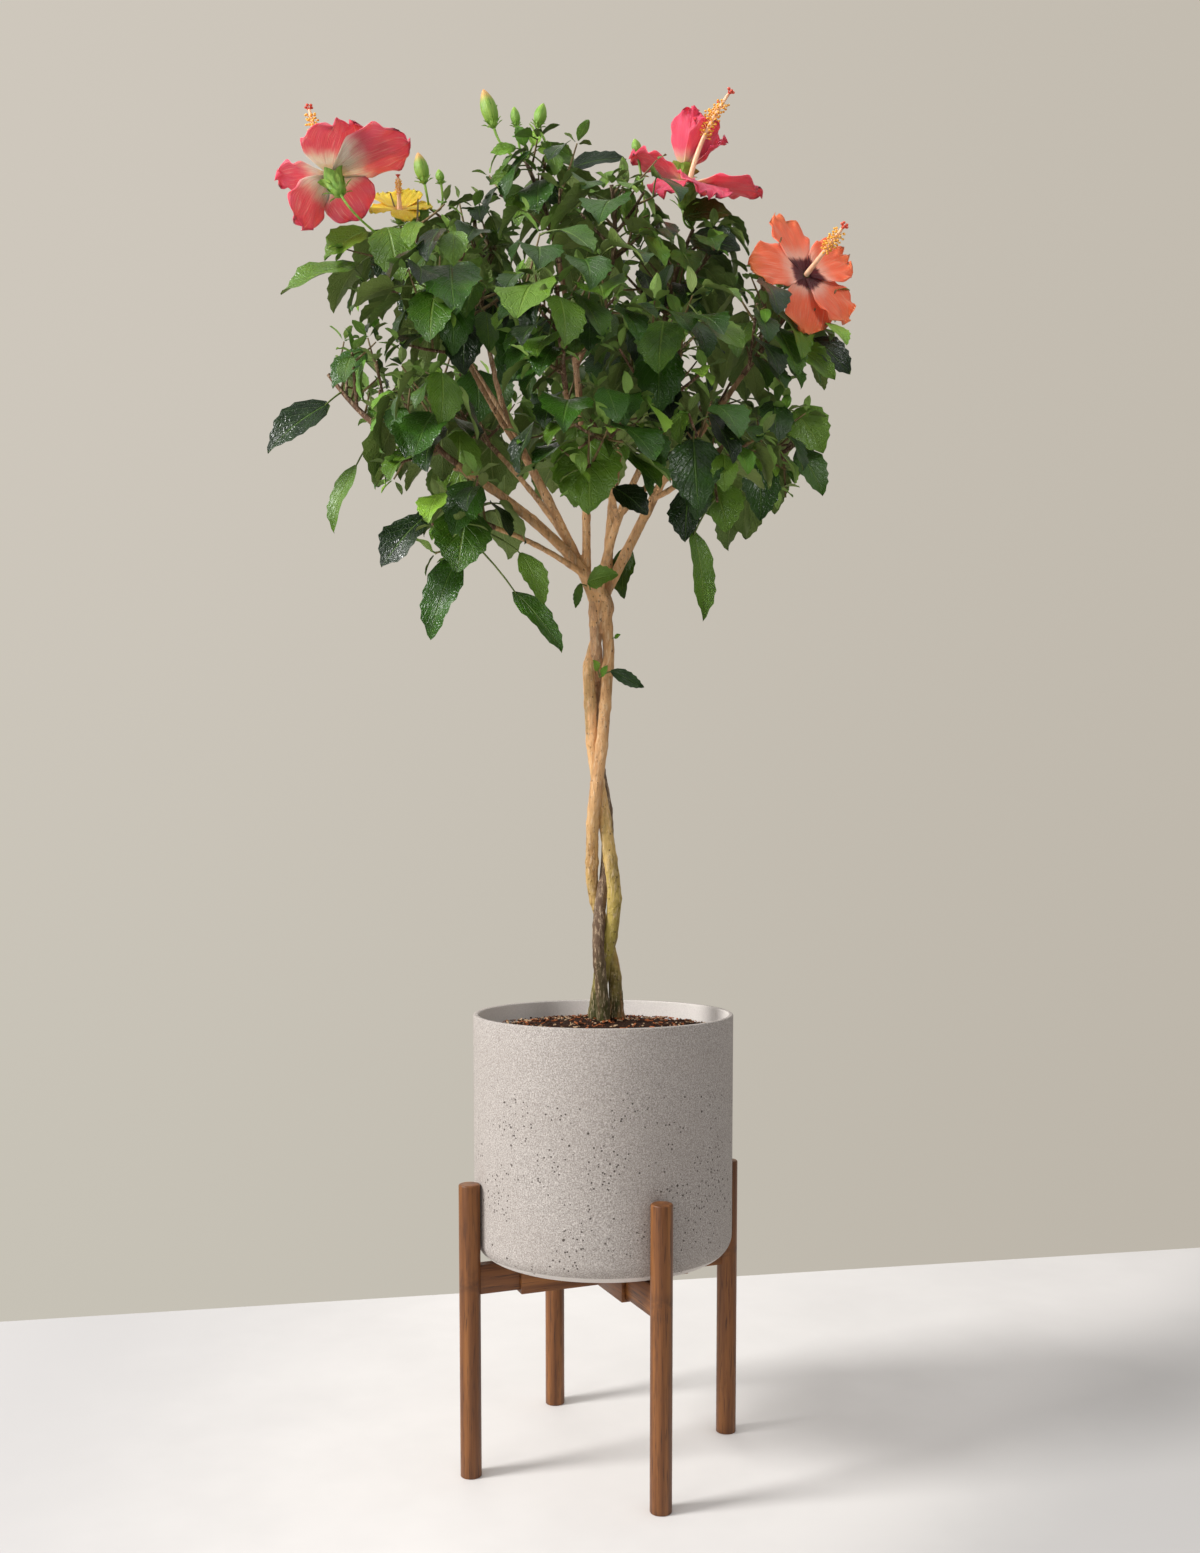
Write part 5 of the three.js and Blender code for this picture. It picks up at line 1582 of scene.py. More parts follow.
# %% One mass
def grow_twigs(name, chance):
    """The leading twig and the side twigs that find room."""
    mass = MASSES[name]
    points, radii = limbs[name]
    crest = Vector(mass.crest)
    leaving = (points[-1] - points[-2]).normalized()
    start = points[-1] + leaving * SOIL_GAP
    run = (crest - start).length
    start_radius = radii[-1] * LEADER_SWELL
    leader_bend = start + leaving * run * LEADER_HEADWAY
    leader = Twig(start, leader_bend, crest, start_radius, LEADER_TIP, 2)
    twigs = [leader]
    for i in range(mass.twigs):
        stray = SIDE_TWIG_STRAY * chance()
        share = SIDE_TWIG_START + (SIDE_TWIG_SPAN * (i + stray)) / mass.twigs
        foot, heading, own_frame = leader.place(share)
        turn = FIRST_TURN + NODE_TURN * (i + mass.seed) + TURN_CHANCE * (chance() - 0.5)
        radial = spoke(own_frame, math.radians(turn))
        reach = mass.spread * (SIDE_TWIG_REACH[0] - SIDE_TWIG_REACH[1] * share)
        reach *= SIDE_TWIG_LENGTHS[0] + SIDE_TWIG_LENGTHS[1] * chance()
        for _ in range(SIDE_TWIG_TRIES):
            rising = Vector((0, 0, SIDE_TWIG_RISE))
            aim = (heading * SIDE_TWIG_FORWARD + radial + rising).normalized()
            end = foot + aim * reach
            bend = foot + aim * reach * 0.5 - Vector((0, 0, reach * SIDE_TWIG_SAG))
            leaving_leader = foot + aim * (start_radius + SIDE_TWIG_ROOM)
            clear = not line_touches_limb(leaving_leader, end, TWIG_TIP)
            inside = inside_mass(name, end, SIDE_TWIG_ROOM)
            if clear and inside and crown_share(foot + aim * reach * TIP_ROOM) < 1:
                twigs.append(Twig(foot, bend, end, TWIG_FOOT, TWIG_TIP, 1))
                break
            reach *= SIDE_TWIG_SHRINK
    return twigs


def grow_mass(name):
    """The twigs and leaves of one mass, dealt out from its seed."""
    chance = random_stream(MASSES[name].seed)
    twigs = grow_twigs(name, chance)
    leaves = []
    for root, end, width, turn in LONE_LEAVES:
        root, end = Vector(root), Vector(end)
        if nearest_mass(root.lerp(end, 0.5)) != name:
            continue
        foot = nearest_on_twigs(twigs, root + Vector((0, 0, 6)))
        roll = roll_to_front(root, end, turn) + 0.15 - 0.3 * chance()
        leaf = Leaf(foot, root, end, width, roll)
        if leaf_fits(name, leaf, [], leaves, True):
            leaves.append(leaf)
    for order, twig in enumerate(twigs):
        first = FIRST_LEAF_PLACES[min(order, 1)]
        count = max(2, math.floor(twig.length * (1 - first) / NODE_SPACING + 0.5))
        for i in range(count + 1):
            node = twig.place(min(first + (1 - first) * i / count, LAST_LEAF_PLACE))
            turn = FIRST_TURN + NODE_TURN * (i + order) + TURN_CHANCE * (chance() - 0.5)
            size = LEAF_SIZES[0] + LEAF_SIZES[1] * chance()
            droop = math.radians(LEAF_DROOP[0] + LEAF_DROOP[1] * chance())
            roll = math.radians(LEAF_ROLL * (chance() - 0.5))
            if i == count:
                size *= END_LEAF_SHARE
            leaf = place_leaf(name, twigs, leaves, node, turn, size, droop, roll)
            if leaf:
                leaves.append(leaf)
    return twigs, leaves


grown = {name: grow_mass(name) for name in MASSES}
print("leaves of the source's rule", sum(len(leaves) for _, leaves in grown.values()))


# %% [markdown]
# Finer growth
#
# The construction model stops at its first side twigs. Here the same rule goes one step on:
# short shoots leave every twig, each with a few smaller leaves, still inside the mass's own
# space and the crown's reach. They close the crown where the real one is closed.

# %% Fine shoots
SHOOT_SPACING = 13
SHOOT_LENGTH = (22, 58)
SHOOT_RADII = (1.3, 0.8)
SHOOT_LEAVES = 4
SHOOT_SEED = 100
SHOOT_START = 0.15
SHOOT_SPAN = 0.83
SHOOT_STRAY = 0.6
SHOOT_FORWARD = 0.6
SHOOT_RISE = 0.25
SHOOT_SAG = 0.05
SHOOT_ROOM = 2
GOLDEN_TURN = 137
YOUNG_LEAF_TRIES = 6


def grow_shoots(name, twigs, leaves):
    """Short shoots along a mass's twigs, and the young leaves that find room on them."""
    chance = random_stream(MASSES[name].seed + SHOOT_SEED)
    shoots, young = [], []
    for twig in twigs:
        count = max(2, round(twig.length / SHOOT_SPACING))
        for i in range(count):
            share = SHOOT_START + SHOOT_SPAN * (i + SHOOT_STRAY * chance()) / count
            foot, heading, own_frame = twig.place(share)
            radial = spoke(own_frame, 2 * math.pi * chance())
            aim = (heading * SHOOT_FORWARD + radial + Vector((0, 0, SHOOT_RISE))).normalized()
            reach = SHOOT_LENGTH[0] + (SHOOT_LENGTH[1] - SHOOT_LENGTH[0]) * chance()
            end = foot + aim * reach
            luck = [[chance() for _ in range(4)] for _ in range(SHOOT_LEAVES)]
            if crown_share(foot + aim * reach * TIP_ROOM) >= 1:
                continue
            if not inside_mass(name, end, SHOOT_ROOM):
                continue
            if line_touches_limb(foot + aim * 6, end, SHOOT_RADII[0]):
                continue
            if any(leaf.cut_by(foot + aim * 4, end) for leaf in leaves + young):
                continue
            bend = foot + aim * reach * 0.5 - Vector((0, 0, reach * SHOOT_SAG))
            shoot = Twig(foot, bend, end, *SHOOT_RADII, 2)
            shoots.append(shoot)
            for k, (bigness, fall, tilt, around) in enumerate(luck):
                share = 0.3 + 0.7 * k / (SHOOT_LEAVES - 1)
                size = (0.62 + 0.45 * bigness) * (1 - 0.22 * share)
                droop = math.radians(14 + 52 * fall)
                roll = math.radians(50 * (tilt - 0.5))
                node = shoot.place(min(share, 0.97))
                turn = FIRST_TURN + GOLDEN_TURN * k + 360 * around
                leaf = place_leaf(
                    name, twigs + shoots, leaves + young, node, turn, size, droop, roll,
                    YOUNG_LEAF_TRIES,
                )
                if leaf and not leaf.cut_by_any(*petal_views):
                    young.append(leaf)
    return shoots, young


shoots_of = {name: grow_shoots(name, *grown[name]) for name in MASSES}
print("shoots", sum(len(shoots) for shoots, _ in shoots_of.values()))
print("leaves on shoots", sum(len(young) for _, young in shoots_of.values()))


# %% [markdown]
# One leaf
#
# A hibiscus leaf is a broad oval with a drawn-out tip, coarse teeth that point forward and
# slanting side veins. The leaf is modelled once, as a flat pattern: a grid whose rows end in the
# teeth, with a second grid for its pale underside, merged along the rim. The pattern's corners
# are shares along and across the leaf, so each copy can arch, fold, wave and twist in its own
# way. The teeth are real corners, not a picture.

# %% Leaf pattern
LEAF_GRID = (12, 4)
SMALL_LEAF_GRID = (6, 2)
LEAF_WIDTHS = [
    (0.0, 0.16), (0.07, 0.56), (0.14, 0.80), (0.21, 0.93), (0.29, 1.0), (0.36, 1.02),
    (0.43, 1.0), (0.5, 0.94), (0.57, 0.86), (0.64, 0.76), (0.71, 0.64), (0.79, 0.50),
    (0.86, 0.34), (0.93, 0.18), (1.0, 0.02),
]
TOOTH = 0.075
VALLEY = 0.6
TOOTH_FORWARD = 0.018
VEIN_SLANT = 0.10
EDGE_WAVE = 0.030
WAVES = 1.7
TIP_FALL = 0.08
TWIST = 0.9
TWIST_START = 0.3


def leaf_grid(rows, columns, layer):
    """A flat grid, 1 long and 2 wide, with its inner corners lifted to a layer."""
    bpy.ops.object.select_all(action="DESELECT")
    bpy.ops.mesh.primitive_grid_add(x_subdivisions=rows, y_subdivisions=columns, size=2)
    grid = bpy.context.object
    bpy.ops.object.mode_set(mode="EDIT")
    bpy.ops.transform.resize(value=(0.5, 1, 1), center_override=(-1, 0, 0))
    bpy.ops.transform.translate(value=(1, 0, 0))
    if layer < 0:
        bpy.ops.mesh.flip_normals()
    bpy.ops.object.mode_set(mode="OBJECT")
    for vertex in grid.data.vertices:
        on_rim = abs(vertex.co.y) > 0.99 or vertex.co.x < 0.001 or vertex.co.x > 0.999
        vertex.co.z = 0 if on_rim else layer
    return grid


Pattern = namedtuple("Pattern", "shares faces upper")


def leaf_pattern(rows, columns):
    """Shares along and across a leaf with its layer, its faces, and which of them face up."""
    top = leaf_grid(rows, columns, 1)
    under = leaf_grid(rows, columns, -1)
    pick(top, under)
    bpy.ops.object.join()
    bpy.ops.object.mode_set(mode="EDIT")
    bpy.ops.mesh.select_all(action="SELECT")
    bpy.ops.mesh.remove_doubles(threshold=0.001)
    bpy.ops.object.mode_set(mode="OBJECT")
    leaf = bpy.context.object
    shares = np.array([tuple(vertex.co) for vertex in leaf.data.vertices])
    faces = [tuple(face.vertices) for face in leaf.data.polygons]
    upper = [face.normal.z > 0 for face in leaf.data.polygons]
    bpy.data.objects.remove(leaf)
    return Pattern(shares, faces, upper)


leaf_shape = leaf_pattern(*LEAF_GRID)
small_leaf_shape = leaf_pattern(*SMALL_LEAF_GRID)
print("faces of a leaf", len(leaf_shape.faces), "and of a young one", len(small_leaf_shape.faces))


# %% Laying a leaf
LEAF_THICKNESS = 0.7


def lay_blade(gathered, leaf, chance, materials=(0, 1), small=False):
    """Adds a copy of the leaf pattern along a leaf's own directions; small ones have no teeth."""
    pattern = small_leaf_shape if small else leaf_shape
    u, v, layer = pattern.shares.T
    rows = round(1 / np.unique(np.round(u, 4))[1])
    row = np.round(u * rows)
    widths = np.interp(u, *zip(*LEAF_WIDTHS))
    on_edge = np.abs(v) > 0.99
    at_tooth = row % 2 == 1
    point = np.where(at_tooth, 1.0, -VALLEY) * TOOTH * (not small)
    inner = (row > 0) & (row < rows)
    half = widths * (1 + point * on_edge * inner)
    slant = VEIN_SLANT * np.abs(v) * np.sin(np.pi * u)
    forward = u + slant + TOOTH_FORWARD * on_edge * inner * at_tooth
    across = v * half
    phase = chance()
    wave = EDGE_WAVE * leaf.size * (0.4 + chance()) * v * v
    wave = wave * np.sin(2 * np.pi * (WAVES * u + phase) + np.where(v > 0, 1.9, 0))
    droop = -TIP_FALL * leaf.size * u ** 3 * (0.3 + chance())
    lift = leaf.lift(u, across) + wave + droop + layer * LEAF_THICKNESS / 2
    twist = (chance() - 0.5) * TWIST * (u - TWIST_START)
    side, face, heading = (np.array(tuple(d)) for d in (leaf.side, leaf.face, leaf.heading))
    half_width = leaf.width / 2
    sideways = across * half_width * np.cos(twist) - lift * np.sin(twist)
    upward = across * half_width * np.sin(twist) + lift * np.cos(twist)
    corners = (
        np.array(tuple(leaf.root))
        + np.outer(forward * leaf.size, heading)
        + np.outer(sideways, side)
        + np.outer(upward, face)
    )
    places = np.column_stack([u, v * 0.5 + 0.5])
    upper, under = materials
    numbers = [upper if faces_up else under for faces_up in pattern.upper]
    gathered.take(corners, pattern.faces, places, numbers, chance())


# %% [markdown]
# Leaf finishes
#
# Old leaves are a deep, glossy green, younger ones a fresher green and the newest almost
# yellow-green; all are paler and duller underneath. The own map's second number gives the
# midrib, both numbers together give side veins that slant forward to the rim, and cells between
# the veins pucker the blade. Each finish has a deep, a fresh and a vein colour, its roughness, how
# far the veins are sunk (or raised, underneath) and how pale they are.

# %% Leaf material
SIDE_VEINS = 6
VEIN_ADVANCE = 0.75


def leaf_material(name, deep, fresh, vein, roughness, vein_depth, vein_share):
    material, shader, place, own_map = start_material(name, 0.45)
    along = own_map.part(0)
    across = (own_map.part(1) - 0.5).magnitude()
    side_veins = ((along - across * VEIN_ADVANCE) * SIDE_VEINS * 2).zigzag().between(0.84, 1.0)
    midrib = 1 - across.between(0.010, 0.036)
    veins = (side_veins * (0.75 - across)).larger(midrib)
    net = own_map.placed((19.0, 13.0, 1.0)).cells(1.0, "DISTANCE_TO_EDGE").between(0.0, 0.3)
    tone = own_map.node("ShaderNodeAttribute", {"attribute_name": "tone"}, {}, 2)
    mottle = place.noise(70.0, 2.0, 0.5)
    age = (tone * 0.7 + mottle * 0.5 - 0.1).between(0.1, 0.9)
    colour = (veins * vein_share).blend(age.blend(deep, fresh), vein)
    relief = (mottle * 0.3 + net * 0.3 - veins * vein_depth).bump(0.0013, 0.8)
    feed(
        shader, Base_Color=colour, Normal=relief,
        Roughness=mottle * 0.2 + (roughness - 0.1) + veins * 0.08,
    )
    return material


LEAF_FINISHES = {
    "dark": ((9, 31, 3), (48, 87, 16), (96, 130, 52), 0.31, 1.0, 0.44),
    "mid": ((52, 88, 14), (92, 126, 32), (134, 160, 66), 0.38, 0.8, 0.36),
    "fresh": ((84, 134, 28), (134, 174, 52), (164, 196, 80), 0.42, 0.7, 0.35),
    "under": ((94, 118, 50), (130, 150, 76), (160, 176, 102), 0.58, -0.8, 0.5),
    "fresh_under": ((118, 158, 64), (152, 186, 88), (178, 204, 112), 0.55, -0.6, 0.5),
}
leaf_kinds = {kind: leaf_material(f"leaf_{kind}", *row) for kind, row in LEAF_FINISHES.items()}
print("leaf finishes", list(leaf_kinds))


# %% Leaves and stalks
LEAF_KINDS = [
    (34, (("fresh", 0.55), ("mid", 1.0))),
    (52, (("fresh", 0.10), ("mid", 0.46), ("dark", 1.0))),
    (math.inf, (("mid", 0.30), ("dark", 1.0))),
]


def leaf_kind(leaf, chance):
    """Which finish a leaf takes, by its length: small ones are fresh, big ones mostly dark."""
    luck = chance()
    shares = next(shares for size, shares in LEAF_KINDS if leaf.size < size)
    return next(kind for kind, share in shares if luck < share)


LEAF_SEED = 200
STALK_ARCH = 0.10
STALK_RADII = (0.6, 0.5)
STALK_TAPER = (1.15, 1, 0.9, 0.9, 0.8)
TWIG_THINNING = 0.8
YOUNG_RADII = (1.5, 0.8)
OLD_BARK, YOUNG_BARK = 0, 1
leaf_pieces = {kind: Gathered() for kind in ("dark", "mid", "fresh")}
petioles = Gathered()
twig_piece = Gathered()


def lay_petiole(leaf):
    """A stalk that bows from the twig into the blade's root."""
    rise = Vector((0, 0, (leaf.root - leaf.foot).length * STALK_ARCH))
    bend = leaf.foot.lerp(leaf.root, 0.6) + rise
    thick = STALK_RADII[0] + leaf.size / LEAF_LENGTH * STALK_RADII[1]
    points = bowed_line(leaf.foot, bend, leaf.at(0.05, 0), len(STALK_TAPER) - 1)
    petioles.tube(points, [thick * share for share in STALK_TAPER], 5)


for order, mass_name in enumerate(MASSES):
    chance = random_stream(LEAF_SEED + order)
    mass_twigs, mass_leaves = grown[mass_name]
    mass_shoots, young_leaves = shoots_of[mass_name]
    for leaf in mass_leaves + young_leaves:
        kind = leaf_kind(leaf, chance)
        lay_blade(leaf_pieces[kind], leaf, chance)
        lay_petiole(leaf)
    for twig in mass_twigs:
        radii = even_steps(twig.radii[0], twig.radii[-1] * TWIG_THINNING, 8)
        twig_piece.tube(bowed_line(*twig.ends, 8), radii, 8, OLD_BARK)
    for shoot in mass_shoots:
        twig_piece.tube(bowed_line(*shoot.ends, 5), even_steps(*YOUNG_RADII, 5), 6, YOUNG_BARK)
print("leaves laid", {kind: len(laid.tones) for kind, laid in leaf_pieces.items()})


# %% [markdown]
# Growing tips
#
# Every twig ends in a little rosette of half-open leaves, brighter than the rest. They catch
# the light all over the crown, so they are worth making although each is only 2 cm long.

# %% Rosettes
ROSETTE_SEED = 300
ROSETTE_LEAVES = 3
ROSETTE_SIZE = 20
ROSETTE_REACH = 16
ROSETTE_ROOM = 1.02


def grow_rosette(tip, heading, chance):
    own_frame = frame_line([tip - heading, tip])[1]
    phase = 2 * math.pi * chance()
    for i in range(ROSETTE_LEAVES):
        out = spoke(own_frame, phase + 2 * math.pi * i / ROSETTE_LEAVES)
        aim = (heading * (0.5 + 0.6 * chance()) + out).normalized()
        span = ROSETTE_SIZE * (0.55 + 0.7 * chance())
        root = tip + aim * 3
        leaf = Leaf(tip, root, root + aim * span, span * 0.5, 0.6 * (chance() - 0.5))
        kind = "fresh" if chance() < 0.6 else "mid"
        if leaf.cut_by_any(*open_lines) or leaf.cut_by_any(*petal_views):
            continue
        lay_blade(leaf_pieces[kind], leaf, chance, small=True)


for order, mass_name in enumerate(MASSES):
    chance = random_stream(ROSETTE_SEED + order)
    for twig in grown[mass_name][0] + shoots_of[mass_name][0]:
        tip, heading, _ = twig.place(1.0)
        if crown_share(tip + heading * ROSETTE_REACH) < ROSETTE_ROOM:
            grow_rosette(tip, heading, chance)


# %% Leaves on bare bark
# Foot, root, tip, width and finish of the leaves that sprout from the trunk and the fork, and of
# the young ones that stand round the stalks of the topmost buds.
SPROUT_SEED = 77
SPROUT_TURN = 0.75
SPROUT_LEAVES = [
    ((-4, -6, 862), (8, -16, 868), (43, -20, 850), 15, "dark"),
    ((-4, -6, 862), (-6, -14, 868), (-10, -24, 878), 9, "fresh"),
    ((-4, -6, 862), (-2, -15, 862), (4, -26, 872), 8, "fresh"),
    ((4, 0, 902), (12, -6, 904), (18, -12, 907), 5, "fresh"),
    ((-14, -8, 955), (-17, -26, 959), (14, -42, 966), 24, "mid"),
    ((-6, 4, 950), (27, 22, 1007), (18, 20, 952), 26, "mid"),
    ((-14, 0, 958), (-24, -6, 962), (-30, -8, 936), 10, "mid"),
    ((-79, -4, 1408), (-92, -8, 1412), (-118, -14, 1405), 13, "fresh"),
    ((-79, -6, 1408), (-83, -12, 1412), (-90, -18, 1430), 17, "fresh"),
    ((-79, -4, 1408), (-73, -10, 1413), (-68, -14, 1429), 15, "fresh"),
    ((-77, -2, 1408), (-69, -8, 1410), (-49, -12, 1410), 13, "fresh"),
    ((-75, -4, 1391), (-87, -12, 1388), (-119, -18, 1372), 18, "mid"),
    ((-73, -2, 1394), (-62, -10, 1391), (-37, -16, 1386), 16, "mid"),
    ((-71, 0, 1381), (-60, -12, 1374), (-41, -22, 1345), 24, "dark"),
    ((-73, -2, 1376), (-83, -14, 1368), (-101, -24, 1348), 22, "mid"),
]
chance = random_stream(SPROUT_SEED)
for foot, root, tip, width, kind in SPROUT_LEAVES:
    foot, root, tip = Vector(foot), Vector(root), Vector(tip)
    roll = roll_to_front(root, tip, SPROUT_TURN) + 0.3 * (chance() - 0.5)
    sprout = Leaf(foot, root, tip, width, roll)
    lay_blade(leaf_pieces[kind], sprout, chance)
    lay_petiole(sprout)
print("leaves and rosettes", sum(len(laid.tones) for laid in leaf_pieces.values()))


# %% [markdown]
# The flowers
#
# A hibiscus flower has five broad petals, narrow at the throat and ruffled at the rim, a long
# column with a brush of stamens and five pads at its tip, and a green calyx with thin bracts.
# Each petal is a small sheet along its curve, and waves run along its rim. A Solidify modifier
# gives it body.

# %% Petals
PETAL_COLUMNS = 18
PETAL_WIDTHS = [
    (0.0, 0.22), (0.12, 0.50), (0.25, 0.80), (0.38, 1.0), (0.5, 1.09), (0.62, 1.12),
    (0.72, 1.10), (0.82, 1.02), (0.9, 0.90), (0.96, 0.70), (1.0, 0.44),
]
petals = Gathered()


def lay_petal(flower, petal, chance):
    """A petal as a sheet along its curve, cupped, creased and ruffled towards its rim."""
    axis, out, rows = petal_curve(flower, petal)
    across = axis.cross(out)
    phase = 2 * math.pi * chance()
    waves = 3.5 + 1.5 * chance()
    lean = (chance() - 0.5) * 0.4
    corners, places = [], []
    for row, (distance, height, tilt) in enumerate(rows):
        u = row / PETAL_ROWS
        middle = Vector(flower.middle) + out * distance + axis * height
        normal = axis * math.cos(tilt) - out * math.sin(tilt)
        forward = out * math.cos(tilt) + axis * math.sin(tilt)
        half = float(np.interp(u, *zip(*PETAL_WIDTHS))) * petal.width / 2
        for column in range(PETAL_COLUMNS + 1):
            v = 2 * column / PETAL_COLUMNS - 1
            rim = max(u ** 5, abs(v) ** 3 * u)
            rim_place = v * (1.4 - 0.4 * u) + 2.2 * (1 - u) * (1 if v > 0 else -1)
            ruffle = math.sin(waves * rim_place * 1.6 + phase)
            ruffle += 0.35 * math.sin(2.7 * waves * rim_place + 2 * phase)
            crease = 0.7 * math.sin(15 * v + 3 * u + phase) * u
            crease += 0.35 * math.sin(29 * v - 4 * u + 2 * phase) * u * u
            cup = 0.10 * half * (v * v - 0.3)
            sideways = v * half + lean * half * u * u
            notch = -0.10 * petal.length * u ** 3 * v * v
            lifted = normal * (ruffle * rim * flower.ruffle + crease + cup)
            corners.append(middle + across * sideways + lifted + forward * notch)
            places.append((u, v * 0.5 + 0.5))
    faces = []
    for row in range(PETAL_ROWS):
        for column in range(PETAL_COLUMNS):
            a = row * (PETAL_COLUMNS + 1) + column
            faces.append((a, a + PETAL_COLUMNS + 1, a + PETAL_COLUMNS + 2, a + 1))
    petals.take(corners, faces, places, [flower.kind] * len(faces), chance())


# %% Petal finish
def petal_material(name, eye, eye_end, throat, throat_end, body, rim, vein, vein_share):
    """From the eye at the throat through its glow to the body and the rim, with fine veins."""
    material, shader, place, own_map = start_material(
        name, 0.2, Sheen_Weight=0.15, Subsurface_Weight=0.6,
        Subsurface_Scale=0.004, Subsurface_Radius=(1.0, 0.6, 0.5),
    )
    u = own_map.part(0)
    v = own_map.part(1)
    drift = place.noise(60.0, 3.0, 0.6)
    reach = u + drift * 0.18 - 0.09
    fan = own_map.placed((1.6, 26.0, 1.0)).noise(1.0, 3.0, 0.6)
    fine = own_map.placed((2.2, 80.0, 1.0)).noise(1.0, 2.0, 0.5)
    streaks = (reach + fan * 0.30 - 0.15).between(throat_end * 0.55, throat_end * 1.35)
    colour = streaks.blend(throat, body)
    colour = reach.between(0.72, 1.0).blend(colour, rim)
    veins = (fan * 0.5 + fine * 0.5).between(0.50, 0.66)
    colour = (veins * vein_share).blend(colour, vein)
    around_eye = (u + fan * 0.2 - 0.1).between(eye_end * 0.7, eye_end)
    colour = around_eye.blend(eye, colour)
    edge = (v - 0.5) * (v - 0.5)
    relief = (fine * 0.6 + fan * 0.8 + edge).bump(0.0014, 0.9)
    feed(shader, Base_Color=colour, Normal=relief, Roughness=drift * 0.2 + 0.45)
    return material


PETAL_FINISHES = {
    "pink": (
        (250, 214, 184), 0.18, (255, 222, 204), 0.38,
        (230, 84, 110), (226, 58, 88), (252, 176, 168), 0.8,
    ),
    "yellow": (
        (236, 170, 60), 0.18, (252, 214, 84), 0.2,
        (248, 196, 44), (250, 204, 50), (228, 162, 34), 0.5,
    ),
    "coral": (
        (244, 190, 150), 0.18, (246, 170, 160), 0.26,
        (234, 78, 106), (226, 60, 92), (250, 144, 150), 0.55,
    ),
    "orange": (
        (76, 6, 14), 0.26, (255, 170, 150), 0.36,
        (255, 104, 68), (255, 116, 66), (255, 172, 146), 0.6,
    ),
}
petal_kinds = [petal_material(f"petal_{kind}", *row) for kind, row in PETAL_FINISHES.items()]
print("petal finishes", list(PETAL_FINISHES))


# %% Columns, calyxes and stalks
bpy.ops.object.select_all(action="DESELECT")
bpy.ops.mesh.primitive_ico_sphere_add(subdivisions=1, radius=1)
bpy.ops.transform.resize(value=(1, 1, 0.75))
settle(bpy.context.object)
blob_corners = [vertex.co.copy() for vertex in bpy.context.object.data.vertices]
blob_faces = [tuple(face.vertices) for face in bpy.context.object.data.polygons]
bpy.data.objects.remove(bpy.context.object)

COLUMN, FILAMENT, ANTHER, PAD = range(4)
STAMENS = 64
STAMEN_SHARES = (0.5, 0.9)
FILAMENT_LENGTHS = (4.0, 7.5)
ANTHER_RADIUS = 1.5
PAD_RADIUS = 1.9
FULL_COLUMN = 60
COLUMN_STEPS = 14
COLUMN_DEPTH = 6
COLUMN_RADII = (2.9, 1.6)
STAMEN_TURN = 2.4
PADS = 5
PAD_REACH = 5
LOBES = 5
BRACTS = 7
LOBE_REACH = 0.75
LOBE_SWELL = 1.25
FLOWER_FLARE = 1.35
BUD_FLARE = 1.12
STALK_BEND = 30
FLOWER_SEED = 400
columns = Gathered()
greens = Gathered()


def lay_blob(place, radius, material):
    corners = [place + corner * radius for corner in blob_corners]
    columns.take(corners, blob_faces, [(0, 0)] * len(corners), [material] * len(blob_faces))


def lay_column(flower, axis, chance):
    """The column with its brush of stamens and the five pads at its tip."""
    start = Vector(flower.middle) - axis * COLUMN_DEPTH
    end = Vector(flower.column)
    control = start + axis * (end - start).length * 0.5
    points = bowed_line(start, control, end, COLUMN_STEPS)
    columns.tube(points, even_steps(*COLUMN_RADII, COLUMN_STEPS), 10, COLUMN)
    frames = frame_line(points)
    heading = (points[-1] - points[-3]).normalized()
    small = min(1, (end - start).length / FULL_COLUMN)
    shortest, longest = FILAMENT_LENGTHS
    first, last = STAMEN_SHARES
    for stamen in range(STAMENS):
        share = first + (last - first) * stamen / STAMENS
        foot = line_place(points, share)
        out = spoke(frames[int(share * COLUMN_STEPS)], STAMEN_TURN * stamen)
        forward = heading * (0.2 + 0.4 * chance())
        length = (shortest + (longest - shortest) * chance()) * small
        tip = foot + (out + forward).normalized() * length
        columns.tube([foot, foot.lerp(tip, 0.5), tip], [0.45, 0.4, 0.4], 4, FILAMENT)
        lay_blob(tip, ANTHER_RADIUS * small, ANTHER)
    for pad in range(PADS):
        out = spoke(frames[-1], 2 * math.pi * pad / PADS)
        tip = end + (heading + out * 0.8).normalized() * PAD_REACH * small
        columns.tube([end, end.lerp(tip, 0.5), tip], [0.8, 0.7, 0.7], 4, PAD)
        lay_blob(tip, PAD_RADIUS * small, PAD)


def lay_calyx(foot, axis, radius, length, flare, chance):
    """Five pointed lobes around a flower's foot or a bud, with thin bracts below them."""
    own_frame = frame_line([foot, foot + axis])[0]
    for lobe in range(LOBES):
        out = spoke(own_frame, 2 * math.pi * lobe / LOBES)
        root = foot + out * radius * 0.5
        tip = foot + out * radius * flare + axis * length
        leaf = Leaf(foot, root, tip, radius * 1.7, 0)
        leaf.side = axis.cross(out)
        leaf.face = leaf.heading.cross(leaf.side)
        lay_blade(greens, leaf, chance, (0, 0), small=True)
    for bract in range(BRACTS):
        out = spoke(own_frame, 2 * math.pi * bract / BRACTS + 0.3)
        root = foot - axis * 2 + out * radius * 0.4
        tip = root + out * radius * 1.3 + axis * length * 0.35
        leaf = Leaf(foot, root, tip, 2.2, 0)
        lay_blade(greens, leaf, chance, (0, 0), small=True)
    cup = [foot - axis * 3, foot, foot + axis * length * 0.5]
    greens.tube(cup, [radius * share for share in (0.35, 0.75, 0.8)], 10)


